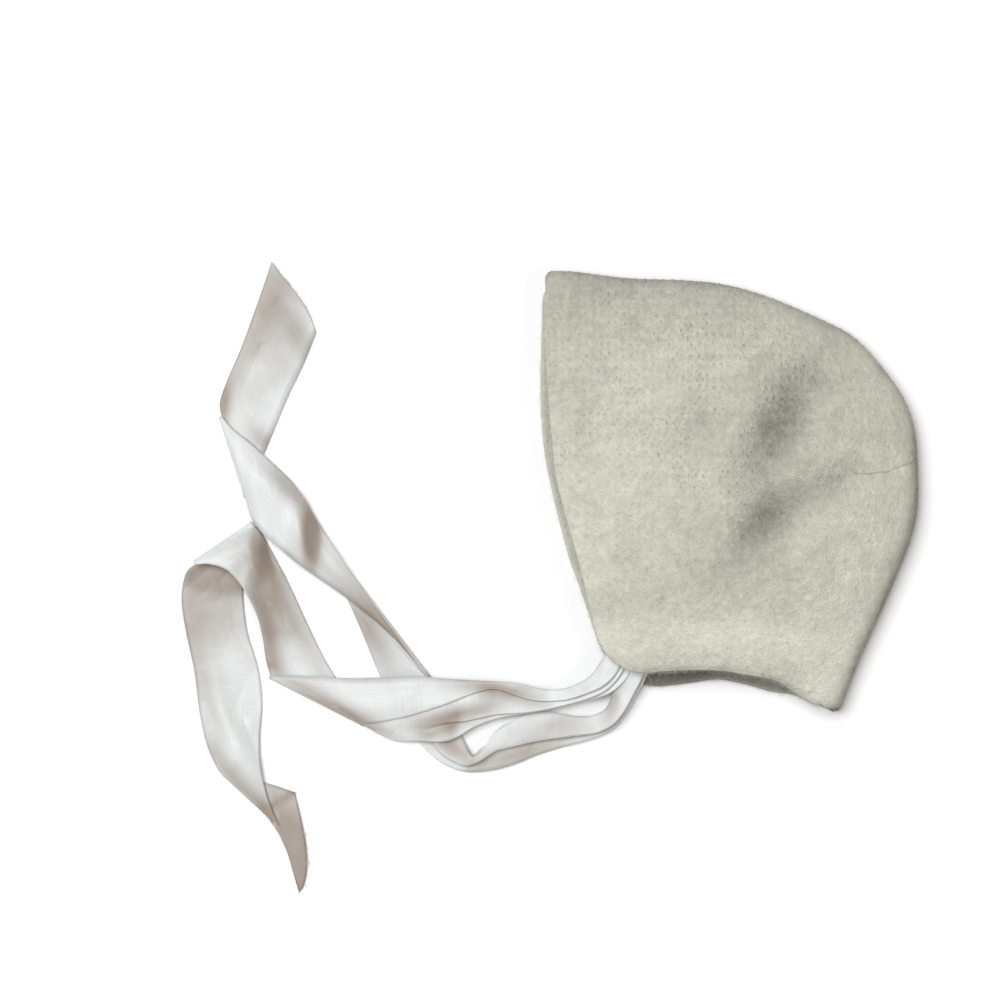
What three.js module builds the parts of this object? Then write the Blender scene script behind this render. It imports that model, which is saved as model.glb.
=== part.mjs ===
// Baby bonnet of thick felted wool with two ribbon ties, lying on its side on a table.
// Millimetres, +Z up. The origin is the middle of the bonnet's plan outline, on the table.
// +X points to the back of the head, +Y to the crown; the face opening looks to -X.
import * as THREE from 'three';

// ---- sizes ----
const WALL = 3.0;              // thickness of the felt
const SEAM_Z = 5.2;            // height of the seam where the two side panels meet
const GAP = 0.3;               // clearance between the two panels at the seam
const LOWER_CURL = 7.0;        // the lower panel curls up over this width beside the seam
const RIM_FRONT = 5.6;         // height of the upper panel's rounded rim at the face edge
const RIM_BACK = 8.0;          // and at the back of the head
const RIM_BLEND = 60;          // the rim grows from one to the other over this length
const PUFF = 20;               // how far the upper panel is puffed up above its rim
const PUFF_SEAM = 30;          // the puff grows over these distances from the seam,
const PUFF_FACE = 40;          // from the face edge
const PUFF_NECK = 35;          // and from the neck edge
const FACE_OPEN = 0.25;        // share of the puff that the face edge keeps as it gapes open
const NECK_OPEN = 0.4;         // and that the neck edge keeps
const RIBBON = 25;             // width of the ties
const TIE = 1.0;               // thickness of the ties
const BEND = 2.8;              // cloth taken by each bend of a lengthwise tuck
const TUCK_AT = 0.54;          // middle of the tuck, as a share of the ribbon's width
const TUCK_DEPTH = 0.55;       // its turned-back band, as a share of the cloth it hides
const REST = TIE / 2 + 0.1;    // height of the middle of a ply that lies on the table

const AROUND = 56;             // rays of a panel's grid
const RINGS = 12;              // rings of a panel's grid
const TIE_STEP = 12;           // longest step along a tie
const ROLL_STEPS = 4;          // steps round a crosswise fold of a tie

// ---- outlines, seen from above ----
// The seam over the crown and down the back of the head, from the face edge to the nape.
const SEAM = [
  { x: -76.9, y: 90.0 },
  { x: -75.4, y: 92.0 },
  { x: -68.0, y: 92.4 },
  { x: -42.4, y: 89.5 },
  { x: -18.5, y: 88.6 },
  { x: -2.5, y: 86.9 },
  { x: 13.4, y: 82.7 },
  { x: 38.6, y: 72.2 },
  { x: 52.0, y: 65.0 },
  { x: 64.3, y: 52.1 },
  { x: 73.5, y: 38.6 },
  { x: 77.6, y: 27.0 },
  { x: 79.2, y: 8.0 },
  { x: 78.8, y: -8.0 },
  { x: 76.2, y: -19.7 },
  { x: 69.6, y: -36.5 },
  { x: 63.0, y: -51.9 },
  { x: 54.6, y: -70.6 },
  { x: 49.2, y: -84.5 },
  { x: 46.4, y: -91.0 },
  { x: 43.9, y: -92.1 },
];
// The neck edge of the upper panel, from the nape to the cheek.
const UPPER_NECK = [
  { x: 43.9, y: -92.1 },
  { x: 41.0, y: -91.0 },
  { x: 29.0, y: -84.6 },
  { x: 20.6, y: -79.4 },
  { x: 8.0, y: -76.8 },
  { x: -4.8, y: -74.9 },
  { x: -21.0, y: -74.7 },
  { x: -34.9, y: -75.6 },
  { x: -40.7, y: -75.2 },
  { x: -44.5, y: -73.8 },
  { x: -49.8, y: -70.2 },
];
// The face edge of the upper panel, from the cheek up to the crown.
const UPPER_FACE = [
  { x: -49.8, y: -70.2 },
  { x: -53.0, y: -66.4 },
  { x: -56.3, y: -58.0 },
  { x: -60.6, y: -40.7 },
  { x: -63.6, y: -28.6 },
  { x: -72.7, y: 5.0 },
  { x: -74.5, y: 21.4 },
  { x: -75.6, y: 36.5 },
  { x: -77.2, y: 63.0 },
  { x: -76.9, y: 90.0 },
];
// The lower panel shows a little outside the upper one at the neck and at the face.
const LOWER_NECK = [
  { x: 43.9, y: -92.1 },
  { x: 41.0, y: -91.2 },
  { x: 29.0, y: -85.4 },
  { x: 18.1, y: -83.6 },
  { x: 8.0, y: -80.8 },
  { x: -4.8, y: -78.7 },
  { x: -17.6, y: -80.2 },
  { x: -32.3, y: -81.4 },
  { x: -38.5, y: -80.0 },
  { x: -44.8, y: -76.4 },
  { x: -50.4, y: -70.8 },
];
const LOWER_FACE = [
  { x: -50.4, y: -70.8 },
  { x: -53.8, y: -64.3 },
  { x: -57.7, y: -53.3 },
  { x: -62.6, y: -39.3 },
  { x: -66.5, y: -28.6 },
  { x: -75.3, y: 6.7 },
  { x: -77.6, y: 21.4 },
  { x: -78.6, y: 40.0 },
  { x: -78.2, y: 63.0 },
  { x: -76.9, y: 90.0 },
];
// Dents and bulges of the upper panel: middle, direction in degrees, reach along and across
// that direction, and rise (negative for a dent).
const DENTS = [
  { name: 'crown valley', x: 22.0, y: 28.5, turn: 60, along: 19, across: 7.0, rise: -3.4 },
  { name: 'crown hollow', x: 18.6, y: 24.0, turn: 76, along: 11, across: 5.5, rise: -3.2 },
  { name: 'nape valley', x: 26.0, y: -5.0, turn: 38, along: 20, across: 6.5, rise: -3.2 },
  { name: 'nape hollow', x: 15.5, y: -12.0, turn: 42, along: 11, across: 6.0, rise: -3.6 },
  { name: 'ridge between', x: 37.0, y: 12.5, turn: 40, along: 12, across: 7.0, rise: 1.6 },
  { name: 'back bulge', x: 50.0, y: -18.0, turn: 70, along: 26, across: 17.0, rise: 2.4 },
  { name: 'lift over ties', x: -43.0, y: -68.0, turn: -35, along: 15, across: 10.0, rise: 1.3 },
  { name: 'cheek hollow', x: -16.0, y: 26.0, turn: 80, along: 24, across: 14.0, rise: -1.6 },
];

// ---- ties ----
// A row is one line across the ribbon. left and right are its two selvedges, as seen by
// someone walking from the bonnet to the free end; tuck is the cloth hidden in a lengthwise
// tuck; bow is how far the ribbon's middle arches up; bulge pushes its middle
// sideways. A row with a roll is a fold: the ribbon turns over about the line, from one
// height to the other, and lies on the side of the line that side names (+1 is left of the
// line from its left selvedge to its right one).
// The tie of the wearer's right side, sewn inside the lower panel.
const TIE_RIGHT = [
  { left: [-22.5, -65.0, 4.0], right: [-31.8, -60.6, 7.2], tuck: 14.2 },
  { left: [-29.6, -74.0, 4.0], right: [-37.8, -70.6, 7.4], tuck: 15.4 },
  { left: [-33.8, -80.0, 4.0], right: [-40.6, -76.6, 7.6], tuck: 16.4 },
  { left: [-37.2, -85.4, 2.8], right: [-44.8, -81.6, 6.4], tuck: 15.8 },
  { left: [-41.5, -92.8, 1.4], right: [-49.0, -87.0, 4.6], tuck: 15.2 },
  { left: [-47.4, -99.2, REST], right: [-52.4, -91.4, 4.2], tuck: 15.2 },
  { left: [-54.2, -102.6, REST], right: [-57.2, -93.6, 4.0], tuck: 15.0 },
  { left: [-62.2, -105.0, REST], right: [-62.4, -94.0, 3.6], tuck: 13.6 },
  { left: [-71.8, -107.7, REST], right: [-71.8, -92.8, 2.2], tuck: 9.8 },
  { left: [-81.5, -110.9, REST], right: [-82.0, -92.0, 1.4], tuck: 6.0 },
  { left: [-88.6, -113.8, REST], right: [-90.4, -95.8, 1.6], tuck: 6.8 },
  { left: [-97.4, -116.5, REST], right: [-97.4, -101.6, 3.2], tuck: 9.4 },
  { left: [-105.0, -117.5, REST], right: [-104.0, -110.4, 6.4], tuck: 14.4 },
  { left: [-111.7, -117.2, REST], right: [-106.8, -111.0, 6.6], tuck: 12.0 },
  { left: [-118.0, -115.0, REST], right: [-108.4, -108.6, 4.4], tuck: 8.4 },
  { left: [-124.2, -110.8, REST], right: [-110.4, -104.8, 1.6], tuck: 4.0 },
  { left: [-130.6, -104.0, REST], right: [-113.0, -99.0, REST], tuck: 1.0 },
  { left: [-137.6, -92.6, REST], right: [-117.0, -91.4, REST] },
  { left: [-145.8, -78.0, REST], right: [-120.0, -86.0, REST] },
  { left: [-154.6, -56.8, REST], right: [-122.4, -81.6, REST] },
  { left: [-171.2, -17.0], right: [-124.6, -78.0], from: REST, to: 2.2, side: -1, roll: 1 },
  { left: [-174.0, -10.4, 2.4], right: [-141.2, -60.4, 2.4], bow: 0.4 },
  { left: [-178.2, -2.8, 2.6], right: [-159.6, -44.8, 2.6], bow: 1.6 },
  { left: [-184.4, 5.4, 2.2], right: [-174.4, -34.6, 2.4], bow: 3.0 },
  { left: [-192.4, 13.0, 2.0], right: [-186.6, -25.0, 3.8], bow: 3.4 },
  { left: [-201.2, 21.2, 2.2], right: [-194.6, -18.0, 5.0], bow: 2.2 },
  { left: [-208.0, 26.4, 2.6], right: [-199.6, -11.6, 4.8], bow: 0.8 },
  { left: [-213.8, 31.4], right: [-203.4, -2.0], from: 3.0, to: REST, side: 1, roll: 1 },
  { left: [-213.4, 37.4, REST], right: [-197.6, 9.6, REST], bow: 0.2 },
  { left: [-210.4, 46.6, REST], right: [-191.2, 24.8, REST], bow: 1.0 },
  { left: [-204.4, 60.6, REST], right: [-184.6, 40.6, REST], bow: 1.4 },
  { left: [-198.6, 76.4, 1.0], right: [-178.8, 52.6, REST], bow: 1.0 },
  { left: [-191.6, 96.6, 2.0], right: [-173.0, 66.8, REST], bow: 0.6, bulge: 2.2 },
];
// The tie of the wearer's left side, sewn inside the upper panel.
const TIE_LEFT = [
  { left: [-38.6, -65.6, 4.0], right: [-47.4, -59.8, 7.4], tuck: 14.0 },
  { left: [-40.4, -70.6, 4.0], right: [-50.2, -64.4, 7.4], tuck: 13.0 },
  { left: [-43.8, -76.2, 4.0], right: [-53.6, -70.6, 7.2], tuck: 13.4 },
  { left: [-49.8, -82.2, 3.0], right: [-58.2, -77.0, 6.6], tuck: 14.6 },
  { left: [-57.0, -86.4, 2.4], right: [-63.4, -80.2, 6.2], tuck: 15.2 },
  { left: [-66.4, -89.2, 2.8], right: [-69.4, -82.4, 7.4], tuck: 16.2 },
  { left: [-74.0, -91.0, 4.2], right: [-75.2, -82.8, 7.8], tuck: 15.8 },
  { left: [-81.6, -92.8, 4.6], right: [-81.8, -81.8, 7.6], tuck: 13.4 },
  { left: [-89.8, -95.8, 4.2], right: [-89.6, -80.0, 6.2], tuck: 8.8 },
  { left: [-97.9, -98.9, 3.8], right: [-97.4, -79.4, 4.8], tuck: 5.2 },
  { left: [-106.6, -102.0, 4.4], right: [-105.8, -79.0, 4.2], tuck: 2.4 },
  { left: [-117.0, -104.2, 5.0], right: [-116.8, -78.4, 4.0], bow: 0.4 },
  { left: [-129.4, -104.6, 3.9], right: [-129.4, -77.4, 4.0], bow: 0.8 },
  { left: [-139.9, -104.2, 2.4], right: [-142.6, -77.8, 3.4], bow: 0.8 },
  { left: [-146.8, -101.4, 2.2], right: [-160.9, -78.1, 2.4], bow: 0.6 },
  { left: [-150.4, -99.2, 2.2], right: [-177.7, -77.2, 2.2], bow: 0.3 },
  { left: [-153.4, -98.2], right: [-192.8, -78.2], from: 2.2, to: REST, side: -1, roll: 1 },
  { left: [-160.9, -84.0, REST], right: [-194.0, -70.8, REST] },
  { left: [-169.3, -70.6, REST], right: [-195.2, -62.2, 2.2], bow: -0.6 },
  { left: [-176.4, -56.2, REST], right: [-197.2, -53.0, 4.8], bow: -1.4 },
  { left: [-183.4, -41.0, REST], right: [-200.2, -45.8, 6.8], bow: -1.2 },
  { left: [-190.8, -26.4, 1.0], right: [-204.2, -39.2, 7.8], bow: 1.4 },
  { left: [-195.6, -18.2, 1.6], right: [-210.4, -32.6, 8.0], bow: 2.0 },
  { left: [-198.0, -14.8, 2.0], right: [-218.0, -30.2, 7.4], bow: 1.2 },
  { left: [-200.0, -12.4], right: [-225.2, -29.6], from: 2.2, to: REST, side: 1, roll: 3.6 },
  { left: [-202.4, -22.4, REST], right: [-229.0, -37.0, 1.4] },
  { left: [-203.7, -41.2, REST], right: [-229.5, -46.0, REST], bow: 0.4 },
  { left: [-202.0, -58.0, REST], right: [-227.6, -59.0, REST], bow: 0.8 },
  { left: [-197.1, -75.2, REST], right: [-224.2, -75.0, REST], bow: 0.6 },
  { left: [-195.7, -89.5, REST], right: [-222.0, -92.0, REST], bow: 0.8 },
  { left: [-196.8, -103.3, 1.4], right: [-219.2, -105.0, REST], bow: 2.2 },
  { left: [-196.4, -114.7, 2.0], right: [-216.4, -112.0, 1.4], bow: 2.0 },
  { left: [-193.0, -129.4, 2.2], right: [-214.0, -116.4, 2.0], bow: 1.0 },
  { left: [-187.0, -141.7], right: [-211.3, -118.5], from: 2.4, to: REST, side: 1, roll: 1 },
  { left: [-185.0, -150.4, REST], right: [-200.8, -120.6, REST] },
  { left: [-182.7, -159.6, REST], right: [-189.8, -123.4, REST], bow: 0.6 },
  { left: [-180.2, -168.2, REST], right: [-181.9, -126.2, REST], bow: 0.8, bulge: -4.2 },
];

// ---- small tools ----
const mix = (a, b, f) => a + (b - a) * f;
const clamp01 = (f) => Math.min(1, Math.max(0, f));
const smooth = (f) => clamp01(f) ** 2 * (3 - 2 * clamp01(f));

// A closed mesh from a grid of points on one side and the matching grid on the other.
function closedFrom(points, triangles, name, look) {
  const geometry = new THREE.BufferGeometry();
  geometry.setAttribute('position', new THREE.Float32BufferAttribute(points.flat(), 3));
  geometry.setIndex(triangles.flat());
  geometry.computeVertexNormals();
  const mesh = new THREE.Mesh(geometry, new THREE.MeshStandardMaterial(look));
  mesh.name = name;
  return mesh;
}

// ---- felt panels ----
// A smooth line through the rows, as closely spaced points.
function lineThrough(rows, count) {
  const places = rows.map((row) => new THREE.Vector3(row.x, row.y, 0));
  const curve = new THREE.CatmullRomCurve3(places, false, 'centripetal');
  return curve.getSpacedPoints(count);
}

function distanceTo(line, x, y) {
  let best = Infinity;
  for (let i = 1; i < line.length; i += 1) {
    const [a, b] = [line[i - 1], line[i]];
    const [dx, dy] = [b.x - a.x, b.y - a.y];
    const along = clamp01(((x - a.x) * dx + (y - a.y) * dy) / (dx * dx + dy * dy));
    best = Math.min(best, Math.hypot(x - a.x - along * dx, y - a.y - along * dy));
  }
  return best;
}

const seamLine = lineThrough(SEAM, 160);
const faceLine = lineThrough(UPPER_FACE, 60);
const neckLine = lineThrough(UPPER_NECK, 60);

function dentsAt(x, y) {
  return DENTS.reduce((sum, dent) => {
    const turn = THREE.MathUtils.degToRad(dent.turn);
    const [dx, dy] = [x - dent.x, y - dent.y];
    const along = (dx * Math.cos(turn) + dy * Math.sin(turn)) / dent.along;
    const across = (dy * Math.cos(turn) - dx * Math.sin(turn)) / dent.across;
    return sum + dent.rise * Math.exp(-(along ** 2 + across ** 2) / 2);
  }, 0);
}

// Height of the upper panel's outer face.
function upperHeight(x, y) {
  const seam = distanceTo(seamLine, x, y);
  const grown = (distance, reach, open = 0) => 1 - (1 - open) * Math.exp(-distance / reach);
  const rim = mix(RIM_FRONT, RIM_BACK, smooth((x - SEAM[0].x) / RIM_BLEND));
  const roll = Math.sqrt(Math.max(0, 1 - (1 - clamp01(seam / rim)) ** 2));
  const puff = PUFF * grown(seam, PUFF_SEAM)
    * grown(distanceTo(faceLine, x, y), PUFF_FACE, FACE_OPEN)
    * grown(distanceTo(neckLine, x, y), PUFF_NECK, NECK_OPEN);
  return SEAM_Z + GAP + rim * roll + puff + dentsAt(x, y) * smooth(seam / 15);
}

// Height of the lower panel's underside: flat on the table, curled up beside the seam.
function lowerHeight(x, y) {
  const near = 1 - clamp01(distanceTo(seamLine, x, y) / LOWER_CURL);
  return SEAM_Z * (1 - Math.sqrt(Math.max(0, 1 - near ** 2)));
}

// A panel is a fan of rays from its middle to its outline, on two faces a wall apart.
function panel(name, neck, face, height, up, look) {
  const share = [0.56, 0.22, 0.22];
  const lines = [SEAM, neck, face];
  const outline = lines.flatMap((rows, i) =>
    lineThrough(rows, Math.round(AROUND * share[i])).slice(0, -1));
  const ringShare = (ring) => 1 - (1 - ring / RINGS) ** 1.5;
  const place = (corner, share_) => {
    const [x, y] = [corner.x * share_, corner.y * share_];
    return new THREE.Vector3(x, y, height(x, y));
  };
  const count = outline.length;
  const normal = (i, share_) => {
    const [from, to] = [Math.max(0.02, share_ - 0.004), Math.max(0.028, share_)];
    const along = place(outline[i], to).sub(place(outline[i], from));
    const next = place(outline[(i + 1) % count], share_);
    const round = next.sub(place(outline[(i + count - 1) % count], share_));
    return along.cross(round).normalize().multiplyScalar(-up);
  };
  const outer = [];
  const inner = [];
  for (let ring = 1; ring <= RINGS; ring += 1) {
    for (let i = 0; i < count; i += 1) {
      const at = ringShare(ring);
      const point = place(outline[i], at);
      outer.push(point.toArray());
      const away = normal(i, at);
      if (ring === RINGS && Math.abs(away.z) > 0.75) away.set(0, 0, up);
      if (ring === RINGS && Math.abs(away.z) < 0.45) away.setZ(0).normalize();
      inner.push(point.addScaledVector(away, -WALL).toArray());
    }
  }
  const middle = height(0, 0);
  const points = [...outer, ...inner, [0, 0, middle], [0, 0, middle - up * WALL]];
  const shift = outer.length;
  const triangles = [];
  const put = (a, b, c) => triangles.push(up > 0 ? [a, b, c] : [a, c, b]);
  for (let i = 0; i < count; i += 1) {
    const next = (i + 1) % count;
    put(next, i, 2 * shift);
    put(shift + i, shift + next, 2 * shift + 1);
    for (let ring = 0; ring < RINGS - 1; ring += 1) {
      const [a, b] = [ring * count + i, ring * count + next];
      put(a, b, b + count);
      put(a, b + count, a + count);
      put(shift + b, shift + a, shift + b + count);
      put(shift + b + count, shift + a, shift + a + count);
    }
    const [a, b] = [(RINGS - 1) * count + i, (RINGS - 1) * count + next];
    put(a, b, shift + b);
    put(a, shift + b, shift + a);
  }
  return closedFrom(points, triangles, name, look);
}

// ---- ribbons ----
// The nodes of a section: flat, first bend, turned back, second bend, flat.
const SPLITS = [2, 3, 1, 3, 2];
const NODES = [[0, 0]].concat(SPLITS.flatMap((count, band) =>
  Array.from({ length: count }, (_, k) => [band, (k + 1) / count])));

// Where a lengthwise tuck of that turn puts the nodes, as [across, up].
function tucked(cloth, tuck, turn) {
  const half = Math.max(BEND, TUCK_DEPTH * tuck) / 2;
  const middle = cloth * TUCK_AT;
  const stops = [0, middle - half - BEND / 2, middle - half + BEND / 2,
    middle + half - BEND / 2, middle + half + BEND / 2, cloth];
  const angle = (s) => turn * (clamp01((s - stops[1]) / BEND) - clamp01((s - stops[3]) / BEND));
  const points = [];
  let [x, y, s] = [0, 0, 0];
  NODES.forEach(([part, f]) => {
    const goal = mix(stops[part], stops[part + 1], f);
    const steps = 12;
    const step = (goal - s) / steps;
    for (let k = 0; k < steps; k += 1) {
      x += Math.cos(angle(s + (k + 0.5) * step)) * step;
      y += Math.sin(angle(s + (k + 0.5) * step)) * step;
    }
    s = goal;
    points.push([x, y]);
  });
  return points;
}

// The section whose ends are a chord apart and that holds that much cloth.
function section(chord, tuck) {
  let [low, high] = [0, Math.PI];
  for (let k = 0; k < 30 && tuck > 0.05; k += 1) {
    const turn = (low + high) / 2;
    const [x, y] = tucked(chord + tuck, tuck, turn).at(-1);
    if (Math.hypot(x, y) > chord) low = turn;
    else high = turn;
  }
  const points = tucked(chord + tuck, tuck, low);
  const [ex, ey] = points.at(-1);
  const size = Math.hypot(ex, ey);
  const scale = chord / size;
  return points.map(([x, y]) => [
    (x * ex + y * ey) / size * scale,
    (y * ex - x * ey) / size * scale,
  ]);
}

// Spells a fold out as lines round its roll.
function unrolled(row) {
  if (!row.roll) return [{ tuck: 0, bow: 0, bulge: 0, ...row }];
  const across = [row.right[0] - row.left[0], row.right[1] - row.left[1]];
  const size = Math.hypot(...across);
  const away = [-across[1] / size * row.side, across[0] / size * row.side];
  const half = (row.to - row.from) / 2;
  const reach = { left: Math.abs(half), right: Math.abs(half) * row.roll };
  return Array.from({ length: ROLL_STEPS + 1 }, (_, k) => {
    const turn = Math.PI * k / ROLL_STEPS;
    const end = (which) => {
      const out = reach[which] * (1 - Math.sin(turn));
      const tall = which === 'right' ? row.roll : 1;
      const low = Math.min(row.from, row.to);
      const rise = (row.from + half * (1 - Math.cos(turn)) - low) * tall;
      return [row[which][0] + away[0] * out, row[which][1] + away[1] * out, low + rise];
    };
    return { left: end('left'), right: end('right'), tuck: 0, bow: 0, bulge: 0 };
  });
}

function tie(name, rows, look) {
  const all = rows.flatMap(unrolled);
  const curve = (which) => new THREE.CatmullRomCurve3(
    all.map((row) => new THREE.Vector3(...row[which])), false, 'centripetal');
  const [left, right] = [curve('left'), curve('right')];
  const stations = [];
  for (let i = 0; i < all.length; i += 1) {
    const last = i === all.length - 1;
    const next = all[last ? i : i + 1];
    const far = Math.max(...['left', 'right'].map((which) =>
      Math.hypot(...[0, 1, 2].map((k) => next[which][k] - all[i][which][k]))));
    const steps = last ? 1 : Math.max(1, Math.ceil(far / TIE_STEP));
    for (let k = 0; k < steps; k += 1) {
      const f = k / steps;
      const at = (i + f) / (all.length - 1);
      const amount = (key) => mix(all[i][key], next[key], f);
      stations.push({
        left: left.getPoint(at),
        right: right.getPoint(at),
        tuck: amount('tuck'),
        bow: amount('bow'),
        bulge: amount('bulge'),
      });
    }
  }
  const grid = stations.map((station) => {
    const across = station.right.clone().sub(station.left);
    const chord = across.length();
    const along = across.divideScalar(chord);
    const up = new THREE.Vector3(0, 0, 1).addScaledVector(along, -along.z).normalize();
    const onward = new THREE.Vector3(along.y, -along.x, 0).normalize();
    const points = section(chord, station.tuck).map(([x, y]) => {
      const arch = Math.sin(Math.PI * clamp01(x / chord));
      return station.left.clone().addScaledVector(along, x)
        .addScaledVector(up, y + station.bow * arch)
        .addScaledVector(onward, -station.bulge * arch);
    });
    const lowest = Math.min(...points.map((p) => p.z));
    const rest = Math.min(station.left.z, station.right.z);
    points.forEach((p) => { p.z += Math.max(0, rest - lowest); });
    return points;
  });
  const wide = NODES.length;
  const long = grid.length;
  const faces = [1, -1].map((side) => grid.map((row, i) => row.map((point, j) => {
    const [before, after] = [grid[Math.max(0, i - 1)][j], grid[Math.min(long - 1, i + 1)][j]];
    const run = after.clone().sub(before);
    const over = row[Math.min(wide - 1, j + 1)].clone().sub(row[Math.max(0, j - 1)]);
    const out = run.cross(over).normalize();
    const place = point.clone().addScaledVector(out, side * TIE / 2);
    return place.setZ(Math.max(0, place.z)).toArray();
  })));
  const points = faces.flat(2);
  const shift = long * wide;
  const triangles = [];
  const quad = (a, b, c, d) => triangles.push([a, b, c], [a, c, d]);
  for (let i = 0; i < long - 1; i += 1) {
    for (let j = 0; j < wide - 1; j += 1) {
      const a = i * wide + j;
      quad(a, a + wide, a + wide + 1, a + 1);
      quad(shift + a, shift + a + 1, shift + a + wide + 1, shift + a + wide);
    }
    const [l, r] = [i * wide, i * wide + wide - 1];
    quad(l, shift + l, shift + l + wide, l + wide);
    quad(r, r + wide, shift + r + wide, shift + r);
  }
  for (let j = 0; j < wide - 1; j += 1) {
    const [s, e] = [j, (long - 1) * wide + j];
    quad(s, s + 1, shift + s + 1, shift + s);
    quad(e, shift + e, shift + e + 1, e + 1);
  }
  return closedFrom(points, triangles, name, look);
}

// ---- the part ----
const FELT = { color: 0xcdcabe, roughness: 0.95, metalness: 0 };
const SILK = { color: 0xe1dedA, roughness: 0.5, metalness: 0 };

const group = new THREE.Group();
group.name = 'baby_bonnet';
group.add(panel('side_panel_left', UPPER_NECK, UPPER_FACE, upperHeight, 1, FELT));
group.add(panel('side_panel_right', LOWER_NECK, LOWER_FACE, lowerHeight, -1, FELT));
group.add(tie('tie_left', TIE_LEFT, SILK));
group.add(tie('tie_right', TIE_RIGHT, SILK));

export default group;
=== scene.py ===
"""Baby bonnet of thick felted wool with two ribbon ties, lying on its side on a pale table.

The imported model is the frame. Tables are in millimetres, Blender's objects in metres.
+X points to the back of the head, +Y to the crown, +Z up; the face opening looks to -X.
"""

import math

import bpy
import numpy as np
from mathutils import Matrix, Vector


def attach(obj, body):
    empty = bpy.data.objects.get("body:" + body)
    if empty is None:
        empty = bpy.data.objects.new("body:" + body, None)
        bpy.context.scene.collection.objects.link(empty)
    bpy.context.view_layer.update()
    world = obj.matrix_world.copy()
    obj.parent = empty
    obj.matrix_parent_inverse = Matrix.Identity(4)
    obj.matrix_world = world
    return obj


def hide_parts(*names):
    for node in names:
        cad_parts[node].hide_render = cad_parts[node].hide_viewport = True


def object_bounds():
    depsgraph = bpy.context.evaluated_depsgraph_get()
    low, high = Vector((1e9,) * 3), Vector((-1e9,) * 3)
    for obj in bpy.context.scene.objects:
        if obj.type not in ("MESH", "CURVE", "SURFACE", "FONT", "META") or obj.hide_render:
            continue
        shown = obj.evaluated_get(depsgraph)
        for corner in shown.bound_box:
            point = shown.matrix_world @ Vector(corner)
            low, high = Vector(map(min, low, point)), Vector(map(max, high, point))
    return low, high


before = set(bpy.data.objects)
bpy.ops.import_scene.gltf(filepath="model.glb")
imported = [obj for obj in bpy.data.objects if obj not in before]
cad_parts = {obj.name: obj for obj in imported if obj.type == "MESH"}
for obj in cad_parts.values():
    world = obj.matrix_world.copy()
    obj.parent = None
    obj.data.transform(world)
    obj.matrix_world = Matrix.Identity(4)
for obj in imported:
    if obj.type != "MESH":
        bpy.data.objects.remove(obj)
cad_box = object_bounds()

MM = 0.001

# ---- sizes of the felt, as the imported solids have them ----
WALL = 3.0              # thickness of the felt
SEAM_Z = 5.2            # height of the seam where the two side panels meet
GAP = 0.3               # clearance between the two panels at the seam
LOWER_CURL = 7.0        # the lower panel curls up over this width beside the seam
RIM_FRONT = 5.6         # height of the upper panel's rounded rim at the face edge
RIM_BACK = 8.0          # and at the back of the head
RIM_BLEND = 60.0        # the rim grows from one to the other over this length
PUFF = 20.0             # how far the upper panel is puffed up above its rim
PUFF_SEAM = 30.0        # the puff grows over these distances from the seam,
PUFF_FACE = 40.0        # from the face edge
PUFF_NECK = 35.0        # and from the neck edge
FACE_OPEN = 0.25        # share of the puff that the face edge keeps as it gapes open
NECK_OPEN = 0.4         # and that the neck edge keeps

# ---- finer sizes of the felt ----
GRID_UPPER = 200        # cells along each side of the upper panel's grid
GRID_LOWER = 110        # and of the lower panel's
CROWD = 1.45            # how much the grid is crowded towards the edges
EDGE_STEPS = 8          # steps round a free edge
EDGE_BLEND = 9.0        # a free edge becomes round over this distance from the seam
SEAM_BULGE = 0.1        # how far the wall's edge bulges where it meets the seam
STITCH_X = 3.1          # one knitted stitch across
STITCH_Y = 4.4          # and along
RIB_HIGH = 0.08         # height of the knitting's ribs
COURSE_HIGH = 0.07      # and of its courses
LUMPS = [(9, 1, 0.25), (4.2, 2, 0.2), (2.1, 3, 0.16)]      # size, seed and height of the lumps
INNER_LUMP = 0.25       # height of the inner face's lumps
LINE_WIDE = 0.9         # half the width of the dart and of the hem's line
DART_DEEP = 0.3         # depth of the dart
HEM_DEEP = 0.2          # and of the hem's line
UNDER_RELIEF = 0.1      # share of this relief that the lower panel's underside has
NECK_PRESS = 1.5        # how far the panels are pressed in along the neck edge
NECK_REACH = 2.0        # and over what distance from it

# ---- shades of the felt, from 0 for dark to 1 for light: its own tone and painted light and shade ----
OUTSIDE = 0.71          # the panels' outer faces
UPPER_INSIDE_PAINTED_SHADE = 0.55     # the upper panel's inner face, darker than the outside as painted shade
LOWER_INSIDE_PAINTED_SHADE = 0.65     # the lower panel's inner face, a little darker than the outside as painted shade,
NAPE_PAINTED_SHADOW = 0.6       # painted shadow on it in the neck opening,
NAPE_SHADOW_LESS = 0.13        # and how much weaker that painted shadow is towards the nape
MOTTLE = [(17, 4, 0.04), (6, 5, 0.05), (2.1, 6, 0.07)]     # size, seed and shade of the mottling
KNIT_PAINTED_SHADE = 0.028      # painted light on the knitting's ribs and courses, painted shade between them
HEM_SHADE = 0.03        # the felt is lighter below the hem's line
NECK_PAINTED_SHADE = (0.36, 1.8)     # painted shade along the neck edge, whose rounded edge turns from the light: shade, and over what distance
CROWN_PAINTED_SHADE = (0.2, 2.0)     # painted shade along the seam's rounded rim over the crown
BACK_PAINTED_SHADE = (0.6, 2.9)      # and down the back
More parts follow.
